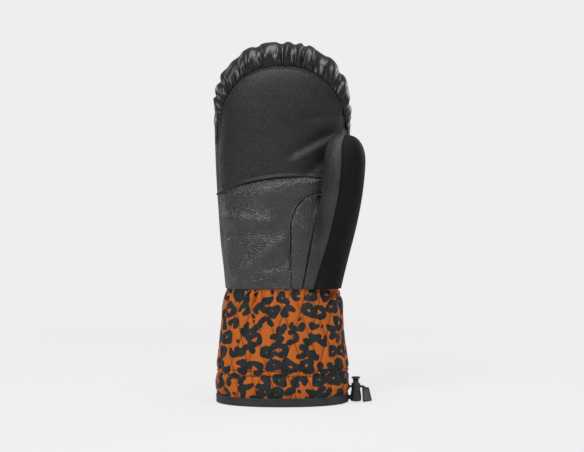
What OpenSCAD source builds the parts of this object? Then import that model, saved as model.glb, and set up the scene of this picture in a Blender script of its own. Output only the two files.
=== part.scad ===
// Ski mitten for the right hand side of a pair, standing on the hem of its
// gauntlet. The palm faces -Y, the fingers point up +Z and the thumb is on +X.
// The origin is the centre of the hand opening, in the plane of the hem.
// The soft pieces are plies of one lofted mitten shape, each at its own inset.

/* [Hand] */
// Width of the hand across the knuckles, over the leather
hand_w = 121.4; // [112:0.2:128]
// Thickness of the hand at the knuckles, palm to back
hand_d = 62; // [56:0.5:68]
// Height of the fingertips above the hem
tip_z = 319.5; // [305:0.5:335]
// Height of the rounded end over the fingertips
tip_round = 69.5; // [62:0.5:76]
// How far the fingertips lean towards the palm
finger_curl = 8; // [0:0.5:12]
// Width of the hand at the wrist, over the leather
wrist_w = 102; // [96:0.5:108]
// Thickness of the hand at the wrist, over the leather
wrist_d = 54; // [48:0.5:60]

/* [Thumb] */
// Diameter of the thumb below its rounded tip
thumb_d = 35; // [31:0.5:38]
// Height of the thumb tip above the hem
thumb_tip_z = 236; // [228:0.5:244]
// Height of the rounded end of the thumb
thumb_round = 26; // [22:0.5:30]
// How far the thumb's crotch is below the thumb's tip
crotch_drop = 38; // [36:0.5:40]
// How far the thumb's centre line stands in front of the palm leather
thumb_stand = 7.5; // [7:0.5:10]
// Radius of the ball cut that lets the thumb bend
knuckle_r = 23; // [21:0.5:26]

/* [Cuff] */
// Height of the cuff, from the hem to the leather's lower edge
cuff_h = 101.5; // [90:0.5:112]
// Width of the cuff at the hem, over the fabric
hem_w = 116.4; // [110:0.2:124]
// Depth of the cuff at the hem, over the fabric
hem_d = 76; // [70:0.5:84]
// Height of the stitch line that closes the drawcord casing
casing_h = 27; // [24:0.5:32]
// How far the cuff is tucked up inside the leather
tuck_h = 11; // [8:0.5:14]
// Height of the hem binding's legs
binding_h = 7.5; // [5:0.5:9]

/* [Plies] */
// Thickness of the leather
leather_t = 1.2; // [0.8:0.1:1.4]
// Thickness of the hand's wadding
wadding_t = 4; // [3:0.1:4.5]
// Thickness of the waterproof membrane
membrane_t = 0.3; // [0.2:0.05:0.4]
// Thickness of the hand's pile lining
lining_t = 1.5; // [1:0.1:2]
// Thickness of the quilted cuff fabric
cuff_fabric_t = 1; // [0.6:0.1:1.2]
// Thickness of the cuff's wadding
cuff_wadding_t = 3.4; // [3:0.1:4]
// Thickness of the cuff's lining and of the casing tape
tape_t = 0.6; // [0.4:0.1:0.8]
// Thickness of the hem binding
binding_t = 0.9; // [0.7:0.1:1.2]
// Gap between one ply and the next
ply_gap = 0.3; // [0.2:0.05:0.4]
// Gap between two panels along a seam
seam_gap = 0.2; // [0.1:0.05:0.3]

/* [Drawcord and cord lock] */
// Diameter of the elastic drawcord
cord_d = 2.3; // [2:0.1:2.6]
// Largest radius of the cord lock's barrel
lock_r = 4.85; // [4.6:0.05:5]
// Height of the cord lock's barrel
lock_h = 16; // [15.5:0.1:16.5]
// Radius of the bore that the button slides in
lock_bore_r = 2.75; // [2.6:0.05:2.9]
// Travel of the button
button_travel = 2.5; // [2:0.1:2.5]
// Height of the cord end
cord_end_h = 12; // [11.8:0.1:12.2]

/* [Hidden] */

// Points round one section of the hand or cuff, and of the thumb.
hand_sides = 28;
thumb_sides = 20;
// Roundness of the sections and of the fingertip end: 2 is an ellipse.
section_n = 2.2;
dome_n = 2.4;
far = 400;

// Inset of each hand ply's outer face from the outside of the leather.
wadding_in = leather_t + ply_gap;
membrane_in = wadding_in + wadding_t + ply_gap;
lining_in = membrane_in + membrane_t + ply_gap;
cavity_in = lining_in + lining_t;

// Inset of each cuff ply's outer face from the outside of the cuff.
cuff_wadding_in = cuff_fabric_t + ply_gap;
casing_tape_in = cuff_wadding_in + cuff_wadding_t - tape_t;
cuff_lining_in = cuff_wadding_in + cuff_wadding_t + ply_gap;
cord_in = (cuff_fabric_t + casing_tape_in) / 2;

// The cord leaves the casing at this height, in front of the side seam.
cord_z = 14;
exit_y = -7;
// Out of the casing, through the lock and down into the cord end.
tail_route = [
    [55.4, -10.2, 14],
    [56.3, -8, 14],
    [57.6, -6.95, 14],
    [59.2, -6.95, 14],
    [61.5, -7, 14],
    [64, -7, 14],
    [67, -7, 14],
    [69.6, -7, 14],
    [71, -7, 13.95],
    [72.2, -7, 13.6],
    [73.2, -7, 13],
    [73.9, -7, 12.2],
    [74.3, -7, 11.2],
    [74.65, -7, 9.5],
    [75.05, -7, 6.5],
    [75.5, -7, 3.5],
    [75.7, -7, 1.9]
];

round_z = tip_z - tip_round;
thumb_round_z = thumb_tip_z - thumb_round;
crotch_z = thumb_tip_z - crotch_drop;
inner_start_z = cuff_h + tuck_h + 1;

function clamp01(u) = max(0, min(1, u));
function smooth(u) = let (v = clamp01(u)) v * v * (3 - 2 * v);
function ease(u) = sin(90 * clamp01(u));
function mix(a, b, u) = a + (b - a) * u;
function unit(v) = v / norm(v);
function spow(c, n) = sign(c) * pow(abs(c), 2 / n);
// X of a rounded oval's right side at y.
function oval_x(y, a, d) = a * pow(1 - pow(abs(y) / d, section_n), 1 / section_n);

// ---- Lofted shapes ----

// One closed section: a rounded oval of half width a and half depth d about c.
function ring(c, a, d, n, sides) = [
    for (i = [0 : sides - 1])
        let (w = 360 * i / sides)
        [c.x + a * spow(cos(w), n), c.y + d * spow(sin(w), n), c.z]
];

module loft(rings) {
    sides = len(rings[0]);
    last = len(rings) - 1;
    polyhedron(
        points = [for (r = rings) each r],
        faces = concat(
            [[for (i = [0 : sides - 1]) i]],
            [for (k = [0 : last - 1], i = [0 : sides - 1])
                let (j = (i + 1) % sides, b = k * sides, t = b + sides)
                each [[b + i, t + i, t + j], [b + i, t + j, b + j]]],
            [[for (i = [sides - 1 : -1 : 0]) last * sides + i]]
        )
    );
}

// A round tube of radius r along a path; ref is never along the path.
module sweep(path, r, sides, ref) {
    last = len(path) - 1;
    points = [
        for (i = [0 : last])
            let (
                t = unit(path[min(i + 1, last)] - path[max(i - 1, 0)]),
                s = unit(cross(t, ref)),
                u = cross(s, t)
            )
            for (k = [0 : sides - 1])
                let (w = 360 * k / sides)
                path[i] + r * (cos(w) * s + sin(w) * u)
    ];
    polyhedron(
        points = points,
        faces = concat(
            [[for (k = [sides - 1 : -1 : 0]) k]],
            [for (i = [0 : last - 1], k = [0 : sides - 1])
                let (j = (k + 1) % sides, b = i * sides, t = b + sides)
                each [[b + k, b + j, t + j], [b + k, t + j, t + k]]],
            [[for (k = [0 : sides - 1]) last * sides + k]]
        )
    );
}

// ---- Mitten shape, at an inset from the outside of the leather ----

function hand_half_w(z) = mix(wrist_w, hand_w, ease((z - cuff_h) / (round_z - cuff_h))) / 2;
function hand_half_d(z) = mix(wrist_d, hand_d, ease((z - cuff_h) / (round_z - cuff_h))) / 2;
curl_z = cuff_h + 50;
function hand_y(z) = -finger_curl * pow(max(0, z - curl_z) / (tip_z - curl_z), 2);

module hand(inset) {
    below = cuff_h - 20;
    straight = [below, each [for (k = [0 : 4]) mix(cuff_h, round_z, k / 5)]];
    loft(concat(
        [for (z = straight)
            ring([0, hand_y(z), z], hand_half_w(z) - inset, hand_half_d(z) - inset, section_n, hand_sides)],
        [for (w = [0, 18, 34, 50, 64, 76, 85])
            let (
                k = spow(cos(w), dome_n),
                z = round_z + (tip_round - inset) * spow(sin(w), dome_n)
            )
            ring([0, hand_y(z), z], (hand_w / 2 - inset) * k, (hand_d / 2 - inset) * k, section_n, hand_sides)]
    ));
}

// The thumb's centre line leaves the hand at the wrist and ends in front of the palm.
thumb_root = [wrist_w / 2 - thumb_d / 2 + 0.5, -wrist_d / 2 + 19];
thumb_end = [hand_w / 2 - 5.7, -hand_d / 2 - thumb_stand];
function thumb_share(z) = (z - cuff_h) / (thumb_tip_z - cuff_h);
function thumb_axis(z) = [
    mix(thumb_root.x, thumb_end.x, ease(thumb_share(z) / 0.9)),
    mix(thumb_root.y, thumb_end.y, smooth(thumb_share(z) / 0.85)),
    z
];
function thumb_r(z) = thumb_d / 2 * mix(0.94, 1, ease(thumb_share(z) / 0.4));

module thumb(inset) {
    below = cuff_h - 20;
    straight = [below, each [for (k = [0 : 5]) mix(cuff_h, thumb_round_z, k / 6)]];
    loft(concat(
        [for (z = straight) ring(thumb_axis(z), thumb_r(z) - inset, thumb_r(z) - inset, 2, thumb_sides)],
        [for (w = [0, 25, 48, 68, 85])
            let (
                k = spow(cos(w), dome_n),
                z = thumb_round_z + (thumb_round - inset) * spow(sin(w), dome_n),
                r = (thumb_d / 2 - inset) * k
            )
            ring(thumb_axis(z), r, r, 2, thumb_sides)]
    ));
}

module mitten_body(inset) {
    hand(inset);
    thumb(inset);
}

// ---- Cutting regions ----

module above(z) translate([-far / 2, -far / 2, z]) cube([far, far, far]);
module below(z) translate([-far / 2, -far / 2, z - far]) cube([far, far, far]);
module palm_half() translate([-far / 2, -far - seam_gap / 2, -far / 2]) cube([far, far, 2 * far]);
module back_half() translate([-far / 2, seam_gap / 2, -far / 2]) cube([far, far, 2 * far]);

// A front outline drawn in X and Z, cut through the palm half only or through everything.
module palm_prism() translate([0, -seam_gap / 2, 0]) rotate([90, 0, 0]) linear_extrude(far) children();
module through_prism() translate([0, far / 2, 0]) rotate([90, 0, 0]) linear_extrude(far) children();
module seam_cut() offset(delta = -seam_gap / 2) children();

// A soft piece is one mesh: nothing turns in it and nothing round is bored in it.
module soft() resize([0, 0, 0]) children();

// ---- Seam lines on the palm, as X at a height Z ----

// The palm panel's upper edge: a rounded U that stands in from the silhouette.
u_half_w = hand_w / 2 - 2;
u_z = tip_z - 84.5;
u_h = 62.5;
module palm_u() {
    outer = hand_w / 2 + 4;
    polygon(concat(
        [for (w = [0 : 7.5 : 180]) [u_half_w * spow(cos(w), 2.2), u_z + u_h * spow(sin(w), 2.2)]],
        [[-outer, u_z - 28], [-outer, -5], [outer, -5], [outer, u_z - 28]]
    ));
}

// The seam across the palm is one long arc.
cross_r = 190;
cross_x = 14;
cross_z = crotch_z + 2;
module below_cross_seam() translate([cross_x, cross_z - cross_r]) circle(cross_r, $fn = 180);

function gusset_inner_x(z) = mix(7.5, thumb_end.x - 17, smooth((z - crotch_z + 48) / 48));
function gusset_outer_x(z) = max(gusset_inner_x(z), mix(17.6, thumb_end.x - 20, thumb_share(z) / 0.7));
function grip_edge_x(z) = thumb_axis(z).x - mix(6.7, 4.3, smooth(thumb_share(z) / 0.8));
seam_levels = [for (k = [0 : 8]) mix(cuff_h - 5, crotch_z, k / 8)];
tip_levels = [for (k = [0 : 8]) mix(cuff_h - 5, thumb_tip_z + 5, k / 8)];

// Above this height the thumb stands clear of the palm.
free_z = crotch_z - 13;

// Everything on the thumb's side of the seam at the palm patch's edge.
module thumb_side_outline() {
    polygon(concat([for (z = seam_levels) [gusset_inner_x(z), z]], [[far, crotch_z], [far, cuff_h - 5]]));
}
module gusset_outline() {
    polygon(concat(
        [for (z = seam_levels) [gusset_inner_x(z), z]],
        [for (k = [8 : -1 : 0]) [gusset_outer_x(seam_levels[k]), seam_levels[k]]]
    ));
}
module palm_side_outline() {
    polygon(concat([for (z = seam_levels) [gusset_outer_x(z), z]], [[-far, crotch_z], [-far, cuff_h - 5]]));
}
// Clear of the palm the grip goes all round the thumb's inner side.
module free_grip_outline() {
    difference() {
        translate([-far, free_z]) square([2 * far, far]);
        side_outline();
    }
}
module side_outline() {
    polygon(concat([for (z = tip_levels) [grip_edge_x(z), z]], [[far, thumb_tip_z + 5], [far, cuff_h - 5]]));
}
// The seam across the back of the hand.
back_seam_r = 190;
module below_back_seam() translate([0, crotch_z - 3 - back_seam_r]) circle(back_seam_r, $fn = 180);

// ---- Thumb joint: the plies are cut by one ball about the pivot ----

pivot_z = crotch_z - 11;
pivot = thumb_axis(pivot_z);
joint_gap = 0.5;
module knuckle_ball(r) {
    translate(pivot)
        loft([for (w = [-89, each [-75 : 15 : 75], 89]) ring([0, 0, r * sin(w)], r * cos(w), r * cos(w), 2, thumb_sides)]);
}
// The part of the thumb that turns, down to the ball.
module thumb_end_zone(r) {
    difference() {
        intersection() {
            thumb(-ply_gap);
            above(pivot_z);
        }
        knuckle_ball(r);
    }
}
module thumb_tip_ply(outer, inner) {
    intersection() {
        difference() {
            thumb(outer);
            thumb(inner);
        }
        thumb_end_zone(knuckle_r + joint_gap / 2);
    }
}
module hand_ply(outer, inner, start) {
    difference() {
        intersection() {
            mitten_body(outer);
            above(start);
        }
        mitten_body(inner);
        thumb_end_zone(knuckle_r - joint_gap / 2);
    }
}
module leather() hand_ply(0, leather_t, cuff_h);

// A ply's thumb tube, and the hand without it.
module thumb_tube_of() intersection() {
    children();
    thumb(-ply_gap);
}
module hand_only_of() difference() {
    children();
    thumb(-ply_gap - seam_gap);
}
// What of a region lies on the part of the thumb that stands clear.
module free_thumb(gap) intersection() {
    thumb(-ply_gap - gap);
    above(free_z);
    children();
}
// The leather of the thumb and of the hand's edge beside it.
module thumb_leather() {
    intersection() {
        leather();
        union() {
            intersection() {
                below(crotch_z);
                palm_half();
            }
            thumb(-ply_gap);
        }
    }
}

// ---- Leather panels ----

module palm_panel() {
    color([0.07, 0.07, 0.075])
        soft() intersection() {
            hand_only_of() leather();
            palm_prism() seam_cut() difference() {
                palm_u();
                below_cross_seam();
                thumb_side_outline();
            }
        }
}

module palm_patch() {
    color([0.12, 0.12, 0.125])
        soft() difference() {
            intersection() {
                leather();
                palm_prism() seam_cut() difference() {
                    intersection() {
                        palm_u();
                        below_cross_seam();
                    }
                    thumb_side_outline();
                }
            }
            free_thumb(seam_gap) palm_half();
        }
}

module thumb_gusset() {
    color([0.11, 0.11, 0.115])
        soft() difference() {
            intersection() {
                thumb_leather();
                palm_prism() seam_cut() gusset_outline();
            }
            free_thumb(seam_gap) palm_half();
        }
}

module thumb_grip_root() {
    color([0.09, 0.09, 0.095])
        soft() difference() {
            thumb_leather();
            through_prism() offset(delta = seam_gap / 2) side_outline();
            difference() {
                through_prism() offset(delta = seam_gap / 2) palm_side_outline();
                free_thumb(0) palm_half();
            }
        }
}

module thumb_side_root() {
    color([0.03, 0.03, 0.032])
        soft() intersection() {
            thumb_leather();
            palm_prism() seam_cut() side_outline();
        }
}

// The back panels reach round the fingertips and the edges to the palm's U seam.
module back_leather() {
    difference() {
        leather();
        translate([0, seam_gap, 0]) palm_prism() {
            offset(delta = seam_gap / 2) palm_u();
            difference() {
                side_outline();
                translate([-far, crotch_z + seam_gap]) square([2 * far, far]);
            }
        }
        free_thumb(seam_gap) palm_half();
    }
}

module finger_back_panel() {
    color([0.08, 0.08, 0.085])
        soft() difference() {
            back_leather();
            through_prism() offset(delta = seam_gap / 2) below_back_seam();
        }
}

module hand_back_panel() {
    color([0.06, 0.06, 0.065])
        soft() intersection() {
            back_leather();
            through_prism() seam_cut() below_back_seam();
        }
}

module thumb_grip_tip() {
    color([0.09, 0.09, 0.095])
        soft() intersection() {
            thumb_tip_ply(0, leather_t);
            through_prism() seam_cut() free_grip_outline();
        }
}

module thumb_side_tip() {
    color([0.03, 0.03, 0.032])
        soft() intersection() {
            thumb_tip_ply(0, leather_t);
            through_prism() seam_cut() side_outline();
        }
}

// ---- Wadding, membrane and lining of the hand ----

module wadding() hand_ply(wadding_in, wadding_in + wadding_t, inner_start_z);
module lining() hand_ply(lining_in, cavity_in, inner_start_z);

module palm_wadding() {
    color("whitesmoke")
        soft() intersection() {
            hand_only_of() wadding();
            palm_half();
        }
}

module back_wadding() {
    color("whitesmoke")
        soft() intersection() {
            hand_only_of() wadding();
            back_half();
        }
}

module thumb_wadding_root() color("whitesmoke") soft() thumb_tube_of() wadding();

module thumb_wadding_tip() color("whitesmoke") soft() thumb_tip_ply(wadding_in, wadding_in + wadding_t);

module membrane_insert() {
    color("lightsteelblue") soft() hand_ply(membrane_in, membrane_in + membrane_t, inner_start_z);
}

module thumb_membrane_tip() {
    color("lightsteelblue") soft() thumb_tip_ply(membrane_in, membrane_in + membrane_t);
}

module palm_lining() {
    color("dimgray")
        soft() intersection() {
            hand_only_of() lining();
            palm_half();
        }
}

module back_lining() {
    color("dimgray")
        soft() intersection() {
            hand_only_of() lining();
            back_half();
        }
}

module thumb_lining_root() color("dimgray") soft() thumb_tube_of() lining();

module thumb_lining_tip() color("dimgray") soft() thumb_tip_ply(lining_in, cavity_in);

// ---- Cuff ----

// Outside half width of the cuff where it is tucked inside the leather.
tuck_half_w = wrist_w / 2 - leather_t - ply_gap;
tuck_half_d = wrist_d / 2 - leather_t - ply_gap;
cuff_top_z = cuff_h + tuck_h;

// Height and half width: straight at the binding, full at the casing, drawn in at the
// casing's stitches, tapering to the wrist and pinched under the leather's edge.
cuff_profile = [
    [0, hem_w / 2],
    [binding_h, hem_w / 2],
    [casing_h * 0.5, hem_w / 2 + 1.6],
    [casing_h * 0.8, hem_w / 2 + 1.2],
    [casing_h, hem_w / 2 - 0.2],
    [casing_h + 5, hem_w / 2 + 0.6],
    [mix(casing_h, cuff_h, 0.45), mix(hem_w, wrist_w, 0.44) / 2 + 0.6],
    [mix(casing_h, cuff_h, 0.8), mix(hem_w, wrist_w, 0.8) / 2 + 0.6],
    [cuff_h - 6, wrist_w / 2 + 0.6],
    [cuff_h - 1, tuck_half_w],
    [cuff_top_z + 10, tuck_half_w]
];
// The depth follows the width, from the tucked top to the hem.
function cuff_half_d(half_w) =
    mix(tuck_half_d, hem_d / 2, (half_w - tuck_half_w) / (hem_w / 2 - tuck_half_w));

module cuff(inset) {
    loft([for (p = cuff_profile)
        ring([0, 0, p[0]], p[1] - inset, cuff_half_d(p[1]) - inset, section_n, hand_sides)]);
}

module cuff_ply(outer, inner, start, end) {
    difference() {
        intersection() {
            cuff(outer);
            translate([-far / 2, -far / 2, start]) cube([far, far, end - start]);
        }
        cuff(inner);
        translate([0, 0, -1]) linear_extrude(2) hem_outline(inner);
    }
}

ply_start = binding_t + ply_gap;
wadding_end = cuff_h - 2;

module cuff_fabric() cuff_ply(0, cuff_fabric_t, ply_start, cuff_top_z);

module cuff_palm_panel() {
    color([0.85, 0.36, 0.1])
        soft() difference() {
            intersection() {
                cuff_fabric();
                palm_half();
            }
            at_eyelet() cylinder(r = eyelet_barrel_r + seam_gap, h = 8, center = true, $fn = 24);
        }
}

module cuff_back_panel() {
    color([0.85, 0.36, 0.1])
        soft() intersection() {
            cuff_fabric();
            back_half();
        }
}

module cuff_wadding() {
    cuff_ply(cuff_wadding_in, cuff_wadding_in + cuff_wadding_t, casing_h + 1.5, wadding_end);
}

module cuff_palm_wadding() {
    color("whitesmoke")
        soft() intersection() {
            cuff_wadding();
            palm_half();
        }
}

module cuff_back_wadding() {
    color("whitesmoke")
        soft() intersection() {
            cuff_wadding();
            back_half();
        }
}

module cuff_lining() {
    color("darkslategray")
        soft() cuff_ply(cuff_lining_in, cuff_lining_in + tape_t, ply_start, inner_start_z - ply_gap);
}

// The tape closes the drawcord casing on the inside.
module casing_tape() {
    color("black")
        soft() cuff_ply(casing_tape_in, casing_tape_in + tape_t, binding_h + 1.5, casing_h - 1);
}

// The band that gathers the wrist lies inside the tucked part of the cuff.
module wrist_elastic() {
    color("white")
        soft() cuff_ply(cuff_wadding_in, cuff_wadding_in + 1, cuff_h, cuff_top_z - 1);
}

module hem_ring(outer, inner, height) {
    linear_extrude(height) difference() {
        hem_outline(outer);
        hem_outline(inner);
    }
}
module hem_outline(inset) {
    polygon([
        for (p = ring([0, 0, 0], hem_w / 2 - inset, hem_d / 2 - inset, section_n, hand_sides)) [p.x, p.y]
    ]);
}

// A folded tape: two legs and the turn under the raw edges.
binding_out = binding_t + ply_gap;
binding_inner_in = cuff_lining_in + tape_t + ply_gap;
module hem_binding() {
    color([0.04, 0.045, 0.05]) {
        hem_ring(-binding_out, binding_inner_in + binding_t, binding_t);
        hem_ring(-binding_out, -ply_gap, binding_h);
        hem_ring(binding_inner_in, binding_inner_in + binding_t, binding_h);
    }
}

// ---- Drawcord and its eyelet ----

casing_half_w = hem_w / 2 + 1.45;
casing_half_d = cuff_half_d(casing_half_w);
function casing_x(y) = oval_x(y, casing_half_w, casing_half_d);
exit_x = casing_x(exit_y);
exit_turn = atan((casing_x(exit_y + 3) - casing_x(exit_y - 3)) / 6);
eyelet_barrel_r = 1.9;
eyelet_flange_r = 2.9;
eyelet_bore_r = cord_d / 2 + 0.4;
// How far the eyelet's flange stands off the fabric, and its barrel's reach behind it.
eyelet_seat = 0.12;
eyelet_face = 0.6;
eyelet_back = -cuff_fabric_t - 0.2;

module at_eyelet() translate([exit_x, exit_y, cord_z]) rotate([0, 90, -exit_turn]) children();

module cord_eyelet() {
    color([0.1, 0.1, 0.1])
        at_eyelet() rotate_extrude($fn = 32) polygon([
            [eyelet_bore_r, eyelet_face],
            [eyelet_flange_r - 0.3, eyelet_face],
            [eyelet_flange_r, eyelet_face - 0.25],
            [eyelet_flange_r, eyelet_seat],
            [eyelet_barrel_r, eyelet_seat],
            [eyelet_barrel_r, eyelet_back],
            [eyelet_bore_r, eyelet_back]
        ]);
}

// The loop runs round the casing from the eyelet, past the thumb side and the back, to where
// its end is sewn down beside the side seam.
loop_steps = 44;
loop_start = -20;
loop_end = -352;
module drawcord() {
    color("black") sweep(
        concat(
            [tail_route[0] + 0.08 * (tail_route[0] - tail_route[1])],
            [for (k = [0 : loop_steps])
                let (w = mix(loop_start, loop_end, k / loop_steps))
                [
                    (casing_half_w - cord_in) * spow(cos(w), section_n),
                    (casing_half_d - cord_in) * spow(sin(w), section_n),
                    cord_z
                ]]
        ),
        cord_d / 2, 8, [0, 0, 1]
    );
}

module cord_tail() color("black") sweep(tail_route, cord_d / 2, 8, [0, 0.3, 1]);

// ---- Cord lock ----

lock_axis = [65.6, exit_y];
lock_z = cord_z - 13;
module at_lock() translate([lock_axis.x, lock_axis.y, lock_z]) children();

lock_floor = 6.2;
// The window at the foot, with the bar that the tether is looped round.
window_z = 1.4;
window_h = 4;
window_w = 3.4;
foot_bar_x = -3.4;
foot_bar_r = 0.65;
cord_play = 0.3;
cord_hole_r = cord_d / 2 + cord_play;

// A bell-shaped barrel with a bore for the button, a cross hole for the cord, and a window with
// a bar at the foot for the tether.
module lock_barrel() {
    color([0.05, 0.05, 0.055]) at_lock() {
        difference() {
            rotate_extrude($fn = 48) polygon([
                [0, 0],
                [lock_r - 0.9, 0],
                [lock_r - 0.25, 0.35],
                [lock_r, 1],
                [lock_r, 4.6],
                [lock_r - 0.35, 7],
                [lock_r - 0.95, 10.3],
                [lock_r - 1.1, lock_h - 1.6],
                [lock_r - 0.85, lock_h - 1.4],
                [lock_r - 0.85, lock_h - 0.3],
                [lock_r - 1.15, lock_h],
                [0, lock_h]
            ]);
            translate([0, 0, lock_floor]) cylinder(r = lock_bore_r, h = lock_h, $fn = 40);
            translate([0, 0, cord_z - lock_z]) rotate([0, 90, 0]) cylinder(r = cord_hole_r, h = 20, center = true, $fn = 24);
            translate([-lock_r - 1, -window_w / 2, window_z])
                cube([lock_r + 1 + foot_bar_x + window_w / 2, window_w, window_h]);
        }
        translate([foot_bar_x, 0, window_z - 0.1]) cylinder(r = foot_bar_r, h = window_h + 0.2, $fn = 24);
    }
}

stem_r = lock_bore_r - 0.2;
stem_foot = lock_floor + 4.7;
button_top = 21.6;
slot_low = cord_z - lock_z - cord_d / 2 - 0.1;
slot_high = slot_low + cord_d + 0.15 + button_travel;

// A plunger with a flanged head, a rib under it and a slot that the cord runs through.
module lock_button() {
    color([0.06, 0.06, 0.065]) at_lock() difference() {
        rotate_extrude($fn = 40) polygon([
            [0, stem_foot],
            [stem_r, stem_foot],
            [stem_r, button_top - 2.8],
            [stem_r + 0.35, button_top - 2.5],
            [stem_r, button_top - 2.1],
            [stem_r, button_top - 1.7],
            [3.7, button_top - 1.4],
            [3.9, button_top - 1],
            [3.8, button_top - 0.3],
            [3.3, button_top],
            [0, button_top]
        ]);
        translate([-5, -cord_d / 2 - 0.15, slot_low]) cube([10, cord_d + 0.3, slot_high - slot_low]);
    }
}

spring_r = 1.8;
spring_wire_r = 0.2;
spring_turns = 4;
module lock_spring() {
    color("silver") at_lock() sweep(
        [for (k = [0 : spring_turns * 12])
            let (w = 360 * k / 12, u = k / (spring_turns * 12))
            [spring_r * cos(w), spring_r * sin(w),
                mix(lock_floor + spring_wire_r + 0.05, stem_foot - spring_wire_r - 0.05, u)]],
        spring_wire_r, 6, [0, 0, 1]
    );
}

// A tape loop round the lock's foot bar, sewn to the binding at its other end.
tether_t = 0.5;
tether_w = window_h - 0.4;
tether_play = 0.15;
tether_end_x = oval_x(exit_y, hem_w / 2 + binding_out, hem_d / 2 + binding_out) - lock_axis.x - 0.1;
module tether_profile(r, end_x, end_r) {
    hull() {
        translate([foot_bar_x, 0]) circle(r, $fn = 24);
        translate([end_x, 0]) circle(end_r, $fn = 24);
    }
}
module lock_tether() {
    color([0.05, 0.05, 0.05]) at_lock()
        translate([0, 0, window_z + 0.2]) linear_extrude(tether_w) difference() {
            tether_profile(foot_bar_r + tether_play + tether_t, tether_end_x + tether_t + 0.1, tether_t + 0.1);
            tether_profile(foot_bar_r + tether_play, tether_end_x + 3 * tether_t, 0.1);
        }
}

// ---- Cord end: a tapered clamp with a lid ----

end_top = [74.2, exit_y, 12.7];
end_lean = 8;
end_d = 4.6;
end_top_w = 6;
end_foot_w = 8.2;
end_corner_r = 0.8;
end_floor = 0.6;
lid_t = 1;
lid_inset = 1;
lid_play = 0.1;
module at_cord_end() translate(end_top) rotate([0, -end_lean, 0]) children();
module end_outline(inset) {
    offset(r = end_corner_r, $fn = 20) offset(delta = -end_corner_r - inset) polygon([
        [-end_top_w / 2, 0],
        [-end_foot_w / 2, -cord_end_h],
        [end_foot_w / 2, -cord_end_h],
        [end_top_w / 2, 0]
    ]);
}
module cord_end_body() {
    color([0.06, 0.06, 0.065]) at_cord_end() difference() {
        rotate([90, 0, 0]) linear_extrude(end_d, center = true) end_outline(0);
        translate([0, 0, end_floor - cord_end_h]) cylinder(r = cord_hole_r, h = cord_end_h, $fn = 24);
        translate([-0.6, 0, 0]) rotate([0, -25, 0]) cylinder(r = cord_hole_r + 0.1, h = 6, center = true, $fn = 24);
        translate([0, -end_d / 2, 0]) rotate([90, 0, 0])
            linear_extrude(2 * lid_t, center = true) end_outline(lid_inset);
    }
}
module cord_end_lid() {
    color([0.12, 0.12, 0.125]) at_cord_end()
        translate([0, -(end_d - lid_t + lid_play) / 2, 0]) rotate([90, 0, 0])
            linear_extrude(lid_t - lid_play, center = true) end_outline(lid_inset + 1.2 * lid_play);
}

palm_panel();
palm_patch();
thumb_gusset();
thumb_grip_root();
thumb_side_root();
finger_back_panel();
hand_back_panel();
palm_wadding();
back_wadding();
thumb_wadding_root();
membrane_insert();
palm_lining();
back_lining();
thumb_lining_root();
thumb_grip_tip();
thumb_side_tip();
thumb_wadding_tip();
thumb_membrane_tip();
thumb_lining_tip();
cuff_palm_panel();
cuff_back_panel();
cuff_palm_wadding();
cuff_back_wadding();
cuff_lining();
wrist_elastic();
casing_tape();
hem_binding();
drawcord();
cord_eyelet();
lock_tether();
lock_barrel();
lock_button();
lock_spring();
cord_tail();
cord_end_body();
cord_end_lid();
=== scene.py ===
import math

import bmesh
import bpy
import numpy as np
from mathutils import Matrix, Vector


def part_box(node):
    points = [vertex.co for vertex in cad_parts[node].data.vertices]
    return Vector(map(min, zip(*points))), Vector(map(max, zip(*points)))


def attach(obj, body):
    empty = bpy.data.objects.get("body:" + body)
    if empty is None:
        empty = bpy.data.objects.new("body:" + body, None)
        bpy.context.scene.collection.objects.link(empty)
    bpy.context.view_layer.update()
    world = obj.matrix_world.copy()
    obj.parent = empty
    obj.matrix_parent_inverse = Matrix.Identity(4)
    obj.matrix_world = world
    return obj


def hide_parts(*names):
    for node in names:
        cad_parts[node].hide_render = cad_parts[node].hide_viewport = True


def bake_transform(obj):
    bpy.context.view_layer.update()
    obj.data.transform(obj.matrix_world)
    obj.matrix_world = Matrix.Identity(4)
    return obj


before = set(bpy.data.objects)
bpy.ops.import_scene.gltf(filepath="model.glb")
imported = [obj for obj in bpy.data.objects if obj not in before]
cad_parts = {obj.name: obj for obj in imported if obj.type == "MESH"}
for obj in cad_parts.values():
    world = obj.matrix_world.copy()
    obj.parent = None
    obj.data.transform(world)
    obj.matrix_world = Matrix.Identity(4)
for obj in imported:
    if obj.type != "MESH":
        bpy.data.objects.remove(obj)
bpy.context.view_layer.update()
MM = 0.001

# ---- Camera, floor and lamps ----
# The mitten stands on its hem in front of a pale seamless backdrop. The palm faces the camera.

camera_data = bpy.data.cameras.new("camera")
camera_data.lens = 72
camera_data.sensor_width = 36
camera = bpy.data.objects.new("camera", camera_data)
camera.location = (0.0086, -1.05, 0.1571)
camera.rotation_euler = (math.radians(90), 0, 0)
bpy.context.collection.objects.link(camera)
bpy.context.scene.camera = camera
bpy.context.scene.view_settings.view_transform = "Standard"

PALE = (0.855, 0.855, 0.855, 1)
FLOOR_R = 6.0
FLOOR_Z = -0.0002


def add(tree, kind, values=None, **settings):
    """A shader or geometry node with its input values and its settings."""
    made = tree.nodes.new(kind)
    for key, value in settings.items():
        setattr(made, key, value)
    for key, value in (values or {}).items():
        if isinstance(value, bpy.types.NodeSocket):
            tree.links.new(value, made.inputs[key])
        else:
            made.inputs[key].default_value = value
    return made


def calc(tree, operation, *values):
    return add(tree, "ShaderNodeMath", dict(enumerate(values)), operation=operation)


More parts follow.
